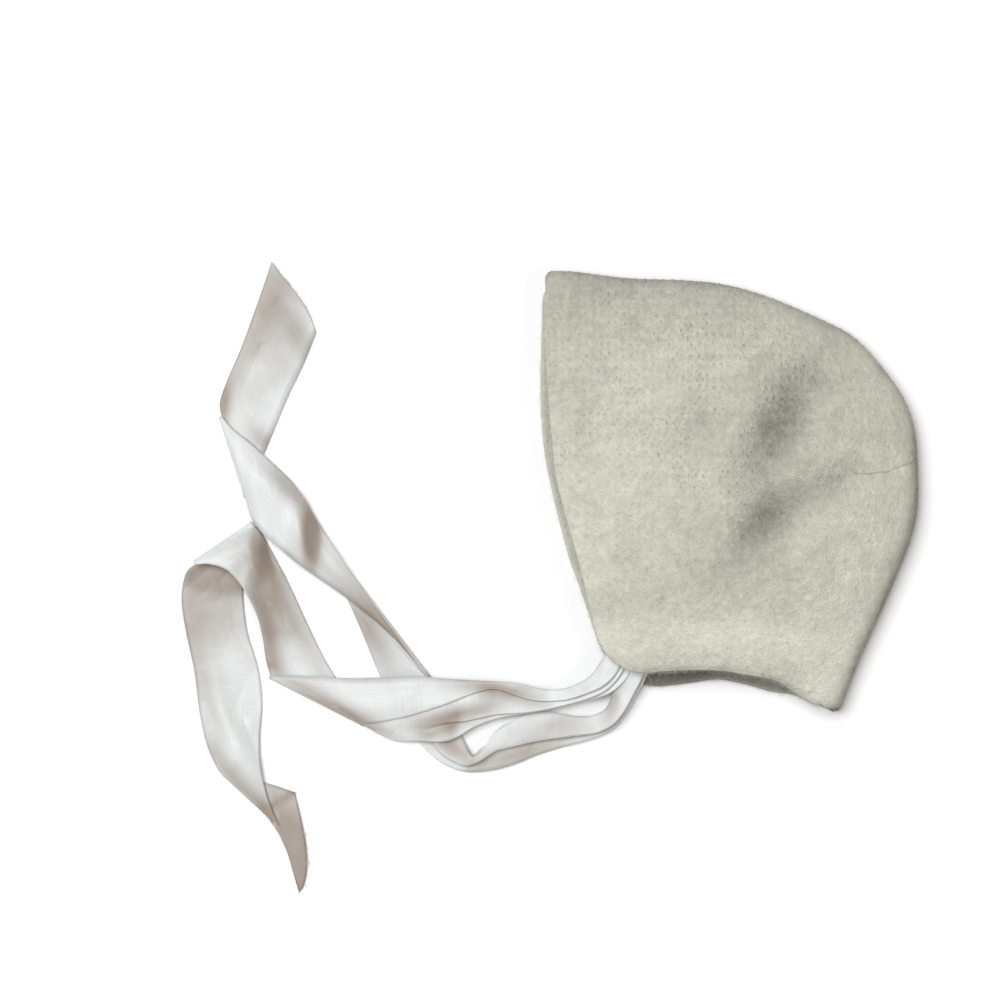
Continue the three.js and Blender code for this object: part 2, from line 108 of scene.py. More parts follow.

# ---- sizes of the ties ----
RIBBON = 25.0           # width of the ribbon
CLOTH = 0.24            # thickness of the ribbon
SELVEDGE = 0.08         # the selvedge is this much thicker,
SELVEDGE_WIDE = 1.0     # over this width
REST = 0.4              # height of the middle of a ply that lies on the table
STEP = 1.3              # longest step along a tie
ROLL_STEPS = 10         # steps round a crosswise fold
MOST_DRAWN_IN = 1.8     # a high roll is drawn in as if it were no more than this high
BAND_NODES = 6          # nodes on each flat or turned-back band of a section
BEND_NODES = 7          # nodes round each of its bends
SWELLS = [(15, 0.3), (6, 0.18)]         # size and height of the ribbon's soft swells
WRINKLES = [(13, 0.3), (8, 0.16)]       # size and depth of its fine wrinkles
AGED = (0.06, 0.08, 11)     # how brown the silk is, how much that varies, over what size
PAINTED_SHADE_STRENGTH = 1.4             # strength of the painted shade, laid in as brown, in the tables
FADE = 0.8              # marks fade over this many lines of a tie's table
LOWEST = 0.24           # a ply's middle never sinks lower than this

# ---- sizes of the fibres and threads ----
FIBRE = 0.028           # radius of a loose wool fibre
FIBRE_NODES = 5         # points along it
STITCHES = 78           # overcast stitches that close the seam
STITCH_YARN = 0.27      # radius of their yarn
STITCH_HIGH = 2.5       # how far they reach up and down from the seam
FRAYS = 46              # thread ends along the cut end of each tie

# ---- outlines of the panels, seen from above: x, y ----
# The seam over the crown and down the back of the head, from the face edge to the nape.
SEAM = [
    (-76.9, 90), (-75.4, 92), (-68, 92.4), (-42.4, 89.5), (-18.5, 88.6), (-2.5, 86.9),
    (13.4, 82.7), (38.6, 72.2), (52, 65), (64.3, 52.1), (73.5, 38.6), (77.6, 27),
    (79.2, 8), (78.8, -8), (76.2, -19.7), (69.6, -36.5), (63, -51.9), (54.6, -70.6),
    (49.2, -84.5), (46.4, -91), (43.9, -92.1),
]
# The neck edge of the upper panel, from the nape to the cheek.
UPPER_NECK = [
    (43.9, -92.1), (41, -91), (29, -84.6), (20.6, -79.4), (8, -76.8), (-4.8, -74.9),
    (-21, -74.7), (-34.9, -75.6), (-40.7, -75.2), (-44.5, -73.8), (-49.8, -70.2),
]
# The face edge of the upper panel, from the cheek up to the crown.
UPPER_FACE = [
    (-49.8, -70.2), (-53, -66.4), (-56.3, -58), (-60.6, -40.7), (-63.6, -28.6), (-72.7, 5),
    (-74.5, 21.4), (-75.6, 36.5), (-77.2, 63), (-76.9, 90),
]
# The lower panel shows a little outside the upper one at the neck and at the face.
LOWER_NECK = [
    (43.9, -92.1), (41, -91.2), (29, -85.4), (18.1, -83.6), (8, -80.8), (-4.8, -78.7),
    (-17.6, -80.2), (-32.3, -81.4), (-38.5, -80), (-44.8, -76.4), (-50.4, -70.8),
]
LOWER_FACE = [
    (-50.4, -70.8), (-53.8, -64.3), (-57.7, -53.3), (-62.6, -39.3), (-66.5, -28.6), (-75.3, 6.7),
    (-77.6, 21.4), (-78.6, 40), (-78.2, 63), (-76.9, 90),
]
# Where a panel's square grid has its fourth corner, on the seam at the back of the head.
BACK_CORNER = (64.3, 52.1)

# Dents and bulges of the upper panel: middle x and y, direction in degrees, reach along and
# across that direction, and rise (negative for a dent).
DENTS = [
    ("crown valley", 22, 28.5, 60, 19, 7, -3.4),
    ("crown hollow", 18.6, 24, 76, 11, 5.5, -3.2),
    ("nape valley", 26, -5, 38, 20, 6.5, -3.2),
    ("nape hollow", 15.5, -12, 42, 11, 6, -3.6),
    ("ridge between", 37, 12.5, 40, 12, 7, 1.6),
    ("back bulge", 50, -18, 70, 26, 17, 2.4),
    ("lift over ties", -43, -68, -35, 15, 10, 1.3),
    ("cheek hollow", -16, 26, 80, 24, 14, -1.6),
]
# Painted light and shade on the felt: darker in its dents and valleys and on slopes turned from the
# light, lighter where it faces the light. The same columns, the last one the change of shade.
PAINTED_LIGHT_AND_SHADE = [
    ("crown edge", -37, 89, 0, 45, 9, -0.17),
    ("below the crown", -22, 74, 0, 28, 10, -0.1),
    ("face corner", -66, 68, 90, 25, 14, -0.08),
    ("crown valley", 19.7, 28.1, 62, 15, 6.5, -0.37),
    ("beside the crown valley", 33, 37.5, 60, 13, 7, -0.11),
    ("above the valley", 31, 46, 60, 16, 14, -0.09),
    ("nape valley", 14.3, -11.8, 45, 11, 6, -0.36),
    ("beside the nape valley", 25, -9, 50, 12, 6, -0.08),
    ("valley foot", 5, -27.5, 60, 9, 6.5, -0.15),
    ("valley arm", 36.5, 2.9, 30, 16, 5, -0.18),
    ("between valleys", 11.3, 6, 90, 14, 7, -0.1),
    ("between valleys, right", 24, 16.5, 65, 10, 7, -0.08),
    ("below the dart", 52, 5, 25, 8, 4, -0.08),
    ("middle", -27, 8, 60, 20, 9, -0.04),
    ("cheek hollow", -16, 28, 20, 14, 7, -0.09),
    ("below the cheek", -18, -38, 0, 22, 10, -0.09),
    ("back curve", 45, 62, -35, 20, 8, -0.05),
    ("hem band", -11.8, -60, 0, 30, 6, 0.24),
    ("cheek", -38, 20, 80, 28, 13, 0.14),
    ("face edge", -66, -10, -75, 45, 6, 0.11),
    ("back bulge", 58, -30, 68, 24, 9, 0.13),
    ("nape", 42, -78, 60, 14, 9, 0.19),
]
# The short dart that runs in from the back of the head.
DART = [(77.3, 13.4), (75.6, 12.2), (68.9, 9.8), (65, 8.2), (61.7, 8), (56.7, 7.4), (52.1, 7.6)]
# The line that the turned hem leaves above the neck edge.
HEM = [(-27.7, -52.5), (6.7, -54.6), (24.8, -55)]
# A white thread end that hangs where the lower tie is sewn in: x, y, z.
LOOSE_THREAD = [(-35.2, -76.2, 6.6), (-34, -77, 7), (-33.1, -78, 6.6), (-32.5, -79.6, 5.4),
                (-32.5, -81.2, 4.2), (-32.9, -82, 3.2)]


# ---- ties ----
def row(left, right, tucks=(0, 0), lines=(0.3, 0.6), bow=0, bulge=0, peak=0.5):
    """One line across a tie. left and right are its selvedges as seen by someone walking from
    the bonnet to the free end: x, y and a height, if it doesn't rest on the table. tucks is the
    cloth that each lengthwise tuck hides, and lines says where across the row its edge shows.
    bow arches the middle up. bulge pushes the row aside, most of all at the share of its width
    that peak names."""
    left, right = [(*end, REST)[:3] for end in (left, right)]
    return dict(left=left, right=right, tucks=tucks, lines=lines, bow=bow, bulge=bulge, peak=peak)


def fold(left, right, low, high, side, roll=(1, 1)):
    """A line about which a tie turns over, from height low to height high. The ribbon lies on
    the side of the line that side names: +1 is left of the line from left to right. roll makes
    the turn's two ends higher or flatter."""
    return {"left": left, "right": right, "from": low, "to": high, "side": side, "roll": roll}


# The tie of the wearer's right side, sewn inside the lower panel.
TIE_RIGHT = [
    row((-27.5, -65, 3.5), (-37.4, -61, 5), (14, 0), (0.12, 0.8)),
    row((-33, -73.9, 3.5), (-42.2, -69.4, 4.9), (14.4, 0), (0.12, 0.8)),
    row((-35.6, -80, 3.4), (-44.9, -75.6, 4.8), (14.4, 0), (0.1, 0.8)),
    row((-38.4, -84.8, 2.7), (-47.9, -80.6, 4.3), (14, 0), (0.08, 0.8)),
    row((-42.8, -92.6, 1.6), (-49.4, -86.1, 3.4), (15, 0), (0.08, 0.8)),
    row((-47.8, -98.8, 0.8), (-51.9, -91, 2.6), (15.4, 0), (0.1, 0.8)),
    row((-54.2, -102.6), (-57.2, -93.6, 2.6), (15, 0), (0.16, 0.8)),
    row((-62.2, -105), (-62.4, -94, 2.4), (13.6, 0), (0.24, 0.8)),
    row((-71.8, -107.7), (-71.8, -92.8, 2.2), (9.8, 0), (0.27, 0.8)),
    row((-81.5, -110.9), (-82, -92, 1.4), (6, 0), (0.29, 0.8)),
    row((-88.6, -113.8), (-90.4, -95.8, 1.6), (6.8, 0), (0.38, 0.8)),
    row((-97.4, -116.5), (-97.2, -99.8, 3), (7.8, 0), (0.46, 0.8)),
    row((-105, -117.5), (-104, -109.2, 3.2), (13.4, 0), (0.52, 0.8)),
    row((-111.7, -117.2), (-107.4, -110.9, 2.9), (12, 0), (0.34, 0.8)),
    row((-118, -115), (-109, -108.4, 2.2), (8.4, 0), (0.28, 0.8)),
    row((-124.2, -110.8), (-110.8, -104.6, 1.3), (4, 0), (0.2, 0.8)),
    row((-130.6, -104), (-113, -99), (1, 0), (0.28, 0.8)),
    row((-137.6, -92.6), (-117, -91.4)),
    row((-145.8, -78), (-120, -86)),
    row((-154.6, -56.8), (-122.4, -81.6)),
    fold((-171.2, -17), (-124.6, -78), REST, 2.2, -1),
    row((-174, -10.4, 2.4), (-141.2, -60.4, 2.4), bow=0.4),
    row((-178.2, -2.8, 2.6), (-159.6, -44.8, 2.6), bow=1.6),
    row((-184.4, 5.4, 2.2), (-174.4, -34.6, 2.4), bow=3),
    row((-192.4, 13, 1.6), (-186.6, -25, 3.8), bow=3.4),
    row((-201.2, 21.2, 1.6), (-194.6, -18, 5), bow=2.2),
    row((-208, 26.4, 1.8), (-199.6, -11.6, 3.6), bow=0.8),
    fold((-213.8, 31.4), (-203.2, -2.4), 2.2, REST, 1, roll=(1, 0.5)),
    row((-213.4, 37.4), (-197.6, 9.6), bow=0.2),
    row((-210.4, 46.6), (-191.2, 24.8), bow=1),
    row((-204.4, 60.6), (-184.6, 40.6), bow=1.4),
    row((-198.6, 76.4, 1), (-178.8, 52.6), bow=1),
    row((-191.6, 96.6, 2), (-173, 66.8), bow=0.6, bulge=2.2, peak=0.66),
]
# The tie of the wearer's left side, sewn inside the upper panel.
TIE_LEFT = [
    row((-38.6, -65.6, 7), (-47.4, -59.8, 8), (7, 7), (0.2, 0.4)),
    row((-40.4, -70.6, 7.15), (-50.2, -64.4, 8), (6.5, 6.5), (0.2, 0.4)),
    row((-42.4, -77.3, 7), (-53.6, -70.6, 7.6), (6, 6), (0.22, 0.34)),
    row((-49.2, -83.9, 5.9), (-58.2, -77, 6.7), (6.8, 6.8), (0.17, 0.36)),
    row((-57, -86.8, 4.7), (-63.4, -80.2, 5.7), (7.8, 7.8), (0.06, 0.34)),
    row((-66.4, -89.2, 4.2), (-69.4, -82.4, 5.8), (8.1, 8.1), (0.02, 0.29)),
    row((-74, -91, 4.6), (-75.2, -82.8, 6.2), (7.9, 7.9), (0.02, 0.38)),
    row((-81.6, -92.4, 4.8), (-81.8, -81.8, 6.4), (7.2, 7), (0.02, 0.45)),
    row((-89.8, -93.6, 4.2), (-89.6, -80, 6.2), (5.7, 5.6), (0.04, 0.61)),
    row((-97.9, -95.2, 3.8), (-97.4, -79.4, 4.8), (4.6, 4.4), (0.1, 0.82)),
    row((-106.6, -98.4, 4.4), (-105.8, -79, 4.2), (2.8, 2.8), (0.14, 0.73)),
    row((-117, -104.2, 5), (-116.8, -78.4, 4), (0.4, 0.9), (0.3, 0.61), bow=0.4),
    row((-129.4, -104.6, 3.9), (-129.4, -77.4, 4), (0, 0.9), (0.2, 0.43), bow=0.8),
    row((-139.9, -104.2, 2.4), (-142.6, -77.8, 3.4), (0, 0.9), (0.1, 0.33), bow=0.8),
    row((-146.8, -101.4, 2.2), (-160.9, -78.1, 2.4), (0, 0.7), (0.05, 0.19), bow=0.6),
    row((-150.4, -99.2, 2.2), (-177.7, -77.2, 2.2), (0, 0), (0.05, 0.12), bow=0.3),
    fold((-153.4, -98.2), (-192.8, -78.2), 2.2, REST, -1, roll=(0.5, 1)),
    row((-160.9, -84), (-194, -70.8)),
    row((-169.3, -70.6), (-195.2, -62.2, 2.2), bow=-0.6),
    row((-176.4, -56.2), (-197.2, -53, 4.8), bow=-1.4),
    row((-183.4, -41), (-200.2, -45.8, 6.8), bow=-1.2),
    row((-190.8, -26.4, 1), (-204.2, -39.2, 7.8), bow=1.4),
    row((-195.6, -18.2, 1.6), (-210.4, -32.6, 7.4), bow=1.8),
    row((-198, -14.8, 2), (-218, -30.2, 6.6), bow=1.2),
    fold((-200, -12.4), (-224.6, -29), 2.2, REST, 1, roll=(1, 2.8)),
    row((-200.9, -16), (-227, -33.2, 1.2)),
    row((-202.4, -24.4), (-228.9, -38.8, 0.8)),
    row((-203.7, -41.2), (-229.5, -46), bow=0.4),
    row((-202, -58), (-227.6, -59), bow=0.8),
    row((-197.1, -75.2), (-224.2, -75), bow=0.6),
    row((-195.7, -89.5), (-222, -92), bow=0.8),
    row((-196.8, -103.3, 1.4), (-219.2, -105), bow=2.2),
    row((-196.4, -114.7, 2), (-216.4, -112, 1.4), bow=2),
    row((-193, -129.4, 2.2), (-214, -116.4, 2), bow=1),
    fold((-187, -141.7), (-211.3, -118.5), 2, REST, 1, roll=(0.4, 1)),
    row((-185, -150.4), (-200.8, -120.6)),
    row((-182.7, -159.6), (-189.8, -123.4), bow=0.6),
    row((-180.2, -168.2), (-181.9, -126.2), bow=0.8, bulge=-4.4, peak=0.32),
]
# How much of the ribbon's length each bend of a tuck takes: two tucks lie flatter than one.
BEND_RIGHT = 1.5
BEND_LEFT = 1.0

# Soft waves in the ties: first and last row that they touch, middle x and y, direction in
# degrees, reach along and across it, and rise.
WAVES_RIGHT = [
    ("first ply, hollow", 0, 12, -84, -99, 10, 14, 3, -0.8),
    ("first ply, crest", 0, 12, -94, -104, 20, 14, 3.4, 1.2),
    ("slanting ply, hollow", 16, 20, -146, -66, 60, 16, 4, -0.9),
    ("first fall, crest", 20.5, 27, -191, 3, -46, 9, 3.6, 1.8),
    ("first fall, foot", 20.5, 27, -183.6, 7, -50, 8, 3, -1.8),
    ("second fall, crest", 20.5, 27, -179.6, -19, 92, 11, 3, 3.3),
    ("second fall, foot", 20.5, 27, -171.8, -24, 92, 9, 2.6, -1.2),
    ("between the falls", 20.5, 27, -180, -7, -40, 5, 2.6, -0.7),
    ("low end, crest", 20.5, 27, -163.5, -34, -50, 9, 3, 1.2),
    ("flat end, hollow", 28, 33, -190, 40, 30, 12, 5, -0.9),
    ("flat end, left fall", 28, 33, -212.5, 36, 75, 9, 3.6, -1.8),
    ("flat end, shadow", 28, 33, -197.5, 21, -40, 12, 4, -1.2),
    ("flat end, far hollow", 28, 33, -184, 80, -40, 14, 5, -1.4),
]
WAVES_LEFT = [
    ("root, ridge", 0, 4, -52, -74, 60, 10, 3, 0.6),
    ("band, hollow", 5, 12, -86, -83.6, -18, 10, 3.2, -2.2),
    ("band, crest", 5, 13, -103, -84, 8, 12, 4, 1.6),
    ("band, fold shade", 8, 13, -110, -94.5, 12, 12, 2.8, -1.4),
    ("band, broad crest", 12, 16, -142, -88, 10, 16, 5, 1.8),
    ("band, waist", 11, 15, -123, -99, 12, 9, 3, -1.1),
    ("leg, crest", 16.5, 24, -199.5, -24, 84, 12, 3.2, 2),
    ("leg, right fall", 16.5, 24, -191.5, -27, 72, 11, 3.2, -2.2),
    ("leg, left fall", 16.5, 24, -203.5, -32, 66, 8, 2.6, -1.4),
    ("leg, hollow", 16.5, 24, -195, -48, -68, 16, 3.4, -1.2),
    ("leg, low crest", 16.5, 24, -186, -54, -66, 18, 3.4, 1),
    ("tail, ripple high", 24.5, 34, -213, -88, -75, 18, 3, 0.9),
    ("tail, ripple low", 24.5, 34, -206, -104, -60, 12, 2.4, 0.8),
]
# Painted shade and shadow on the silk, laid in as brown where folds, overlaps and slopes turn from
# the light: the same columns, the last one how strong.
PAINTED_SHADE_RIGHT = [
    ("by the bonnet", 0, 6, -48.4, -86.4, 75, 7, 2.2, 0.5),
    ("first ply", 6, 12, -72.7, -96.6, 10, 8, 3, 0.25),
    ("first ply, low", 4, 12, -74, -101.5, 16, 22, 4, 0.22),
    ("first ply, edge", 6, 12, -79, -109.4, 17, 12, 2.4, 0.25),
    ("first ply, under the line", 7, 13, -98, -113, 16, 20, 3, 0.3),
    ("low turn", 11, 16, -116.8, -106.3, -35, 9, 3, 0.55),
    ("slanting ply", 15, 20, -147.5, -62.8, -62, 15, 6, 0.3),
    ("slanting ply, top", 15, 19.6, -154, -53, -60, 12, 5, 0.3),
    ("over the slanting ply", 20.2, 22.6, -142, -59, -47, 19, 4.2, 0.85),
    ("first fall", 20.6, 26.4, -186, 4.2, -45, 7, 2.8, 0.32),
    ("between the falls", 20.6, 26.4, -181, -3.4, -45, 5, 3, 0.2),
    ("second fall", 20.6, 26.4, -174.8, -18.8, 92, 9, 2.8, 1.1),
    ("turn, left", 27.4, 33, -212.5, 36.5, 85, 8, 2.5, 0.5),
    ("turn, right", 27.4, 33, -195.7, 21.8, -40, 6, 3, 0.45),
    ("end, left edge", 27.4, 33, -206, 52, 62, 22, 4, 0.35),
    ("end, right corner", 27.4, 33, -179, 64, -55, 9, 4, 0.3),
    ("end, middle", 27.4, 33, -193, 52, 60, 15, 7, 0.16),
    ("end, far part", 27.4, 33, -190, 84, 65, 17, 11, 0.45),
]
PAINTED_SHADE_LEFT = [
    ("above the tucks", 6, 12, -95.8, -83.2, -8, 13, 3, 0.6),
    ("between the tucks", 8, 13, -111.5, -93.4, 10, 14, 2.6, 0.5),
    ("waist", 10, 14, -124.5, -101, 20, 8, 3, 0.4),
    ("waist, right", 10, 13, -115.8, -99.6, 75, 5, 2.2, 0.35),
    ("leg, top", 16.6, 23.4, -194.5, -25.4, -78, 11, 5, 0.55),
    ("leg, middle", 16.6, 23.4, -194, -45.4, -75, 15, 8, 0.45),
    ("leg, right edge", 16.6, 23.4, -178, -60, -62, 16, 4.5, 0.28),
    ("leg, left foot", 16.4, 23.4, -191.5, -70, -80, 12, 3.6, 0.5),
    ("band, low edge", 12.6, 16, -163, -91.8, -28, 22, 3.4, 0.6),
    ("under the arch", 24.6, 34, -215, -35, -10, 12, 4.6, 1),
    ("below the arch", 24.6, 34, -216, -51, 0, 13, 12, 0.42),
    ("tail, left edge", 24.6, 34, -222, -74, -80, 24, 5, 0.3),
    ("tail, low edge", 24.6, 34, -207, -120, -48, 13, 3, 0.45),
    ("tail, tip", 24.6, 34, -191.6, -136.4, -52, 7, 2.8, 0.7),
    ("last ply", 34.6, 38, -182, -146, -75, 20, 10, 0.75),
    ("last ply, crease", 34.6, 38, -186.7, -129.2, 38, 5, 0.8, 1),
    ("tip", 34.6, 38, -179, -157, 80, 9, 3, 0.55),
]
# Sharp creases: first and last row, the two ends of the line, width and depth.
CREASES_RIGHT = [
    ("first ply, inner", 16, 20, (-140.3, -78.1), (-148.3, -59.2), 1.1, 1),
    ("flat end, along", 28, 33, (-196.6, 60.9), (-208.7, 39.9), 0.9, 0.5),
    ("flat end, across", 28, 33, (-196.6, 60.9), (-173.9, 64.7), 0.9, 0.5),
    ("flat end, side", 28, 33, (-184, 42), (-192.4, 37.4), 1.4, 0.6),
]
CREASES_LEFT = [
    ("waist", 10, 15, (-126, -100.8), (-130.2, -99.1), 1.2, 0.8),
    ("leg, upright", 16.5, 24, (-198.2, -14.7), (-198.2, -29), 1.6, 0.8),
    ("tail, first", 24.5, 34, (-219.7, -87.4), (-215.5, -97.9), 1.2, 0.5),
    ("tail, second", 24.5, 34, (-203.7, -95.8), (-197.4, -110.5), 1.2, 0.5),
    ("last ply", 34.5, 38, (-182.7, -126), (-190.7, -132.3), 1, 0.9),
]


# ---- small tools ----
def smooth(f):
    """0 below 0 and 1 above 1, with a soft step between."""
    f = np.clip(f, 0.0, 1.0)
    return f * f * (3 - 2 * f)


def climb(values, start, length):
    """0 before start, and 1 from a length past it."""
    return np.clip((values - start) / length, 0, 1)


def through(points, at):
    """Points at those places along a centripetal Catmull-Rom curve, counted in rows."""
    points = np.asarray(points, float)
    padded = np.vstack([2 * points[0] - points[1], points, 2 * points[-1] - points[-2]])
    first = np.clip(np.floor(at).astype(int), 0, len(points) - 2)
    f = (at - first)[:, None]
    p = [padded[first + k] for k in range(4)]
    gap = [np.linalg.norm(p[k + 1] - p[k], axis=1)[:, None] ** 0.5 for k in range(3)]
    gap[1] = np.where(gap[1] < 1e-4, 1.0, gap[1])
    gap[0] = np.where(gap[0] < 1e-4, gap[1], gap[0])
    gap[2] = np.where(gap[2] < 1e-4, gap[1], gap[2])
    start = ((p[1] - p[0]) / gap[0] - (p[2] - p[0]) / (gap[0] + gap[1]) + (p[2] - p[1]) / gap[1])
    end = ((p[2] - p[1]) / gap[1] - (p[3] - p[1]) / (gap[1] + gap[2]) + (p[3] - p[2]) / gap[2])
    start, end = start * gap[1], end * gap[1]
    cubic = 2 * p[1] - 2 * p[2] + start + end
    square = -3 * p[1] + 3 * p[2] - 2 * start - end
    return p[1] + f * (start + f * (square + f * cubic))


def line_through(rows, count, part=(0.0, 1.0)):
    """Evenly spaced points on a smooth line through the rows, or on a part of it."""
    dense = through(rows, np.linspace(0, len(rows) - 1, 40 * len(rows)))
    run = np.concatenate([[0], np.cumsum(np.linalg.norm(np.diff(dense, axis=0), axis=1))])
    goal = np.linspace(part[0], part[1], count + 1) * run[-1]
    return np.stack([np.interp(goal, run, dense[:, k]) for k in range(dense.shape[1])], axis=1)


def share_of(rows, place):
    """How far along the smooth line the point nearest to place is, from 0 to 1."""
    line = line_through(rows, 2000)
    return float(np.argmin(np.linalg.norm(line - np.array(place), axis=1))) / 2000


def distance_to(line, x, y):
    """Distance from a line, seen from above."""
    best = np.full(x.shape, np.inf)
    for (ax, ay), (bx, by) in zip(line[:-1], line[1:]):
        dx, dy = bx - ax, by - ay
        along = np.clip(((x - ax) * dx + (y - ay) * dy) / (dx * dx + dy * dy), 0, 1)
        best = np.minimum(best, np.hypot(x - ax - along * dx, y - ay - along * dy))
    return best


def noise(x, y, cell, seed):
    """Smooth random bumps from -1 to 1, about a cell across."""
    table = np.random.default_rng(seed).uniform(-1, 1, (257, 257))
    turn = 0.55 + 0.37 * seed
    u = (x * math.cos(turn) - y * math.sin(turn)) / cell + 100
    v = (x * math.sin(turn) + y * math.cos(turn)) / cell + 100
    i, j = np.floor(u).astype(int), np.floor(v).astype(int)
    fu, fv = smooth(u - i), smooth(v - j)
    pick = [[table[(i + a) % 257, (j + b) % 257] for b in (0, 1)] for a in (0, 1)]
    low = pick[0][0] * (1 - fv) + pick[0][1] * fv
    high = pick[1][0] * (1 - fv) + pick[1][1] * fv
    return low * (1 - fu) + high * fu


def hill(x, y, middle_x, middle_y, turn, along, across):
    """A soft hill of height 1, longer one way than the other."""
    turn = math.radians(turn)
    dx, dy = x - middle_x, y - middle_y
    u = (dx * math.cos(turn) + dy * math.sin(turn)) / along
    v = (dy * math.cos(turn) - dx * math.sin(turn)) / across
    return np.exp(-(u * u + v * v) / 2)


def normals_of(points, faces):
    """Vertex normals of a quad mesh, weighted by area."""
    corners = points[faces]
    flat = np.cross(corners[:, 2] - corners[:, 0], corners[:, 3] - corners[:, 1])
    total = np.zeros_like(points)
    for k in range(4):
        np.add.at(total, faces[:, k], flat)
    return total / np.maximum(np.linalg.norm(total, axis=1), 1e-12)[:, None]


def make_object(name, points, faces, material, attributes=None, uv=None):
    """A smooth-shaded mesh object from points in millimetres."""
    mesh = bpy.data.meshes.new(name)
    mesh.from_pydata((np.asarray(points) * MM).tolist(), [], [list(map(int, f)) for f in faces])
    mesh.validate()
    mesh.polygons.foreach_set("use_smooth", [True] * len(mesh.polygons))
    for key, values in (attributes or {}).items():
        layer = mesh.attributes.new(key, "FLOAT", "POINT")
        layer.data.foreach_set("value", np.asarray(values, np.float32))
    if uv is not None:
        corner = np.zeros(len(mesh.loops), np.int32)
        mesh.loops.foreach_get("vertex_index", corner)
        layer = mesh.uv_layers.new(name="UVMap")
        layer.data.foreach_set("uv", np.asarray(uv, np.float32)[corner].ravel())
    mesh.materials.append(material)
    piece = bpy.data.objects.new(name, mesh)
    bpy.context.scene.collection.objects.link(piece)
    return piece


def tubes(name, lines, radius, sides, material):
    """Many thin closed tubes, one along each of the lines, joined in one mesh."""
    points, faces = [], []
    for line in lines:
        line = np.asarray(line, float)
        run = np.gradient(line, axis=0)
        run /= np.linalg.norm(run, axis=1)[:, None]
        helper = np.array([0.0, 0.0, 1.0]) if abs(run[0][2]) < 0.8 else np.array([1.0, 0.0, 0.0])
        side = np.cross(run, helper)
        side /= np.linalg.norm(side, axis=1)[:, None]
        other = np.cross(run, side)
        taper = np.ones(len(line))
        taper[[0, -1]] = 0.5
        first = sum(len(p) for p in points)
        for k, place in enumerate(line):
            turn = np.arange(sides) * 2 * math.pi / sides
            ring = np.outer(np.cos(turn), side[k]) + np.outer(np.sin(turn), other[k])
            points.append(place + radius * taper[k] * ring)
        for k in range(len(line) - 1):
            for s in range(sides):
                a, b = first + k * sides + s, first + k * sides + (s + 1) % sides
                faces.append([a, a + sides, b + sides, b])
        faces.append([first + s for s in range(sides)])
        faces.append([first + (len(line) - 1) * sides + s for s in reversed(range(sides))])
    return make_object(name, np.vstack(points), faces, material)


# ---- materials ----
def feed(tree, socket, value):
    """Gives a socket a number, a colour or another node's output."""
    if isinstance(value, bpy.types.NodeSocket):
        tree.links.new(value, socket)
    else:
        socket.default_value = value


def add_node(tree, kind, settings=None, **sockets):
    """A new shader node with its settings, and what its sockets are given."""
    made = tree.nodes.new(kind)
    for key, value in (settings or {}).items():
        setattr(made, key, value)
    for key, value in sockets.items():
        feed(tree, made.inputs[key.replace("_", " ")], value)
    return made


def blank_material(name, **shader):
    material = bpy.data.materials.new(name)
    material.use_nodes = True
    tree = material.node_tree
    principled = tree.nodes["Principled BSDF"]
    for key, value in shader.items():
        principled.inputs[key.replace("_", " ")].default_value = value
    return material, tree, principled


def mixed(tree, factor, first, second):
    """A colour from first to second."""
    node = add_node(tree, "ShaderNodeMix", {"data_type": "RGBA"})
    for index, value in ((0, factor), (6, first), (7, second)):
        feed(tree, node.inputs[index], value)
    return node.outputs[2]


def ramp(tree, value, low, high):
    """value, stretched so that low becomes 0 and high becomes 1."""
    return add_node(tree, "ShaderNodeMapRange", Value=value, From_Min=low,
                    From_Max=high).outputs["Result"]


def total(tree, first, second, scale):
    """first + second * scale."""
    node = add_node(tree, "ShaderNodeMath", {"operation": "MULTIPLY_ADD"})
    for index, value in enumerate((second, scale, first)):
        feed(tree, node.inputs[index], value)
    return node.outputs[0]


def times(tree, first, second):
    return total(tree, 0.0, first, second)


def centred(tree, value, middle=0.5):
    return total(tree, value, 1.0, -middle)


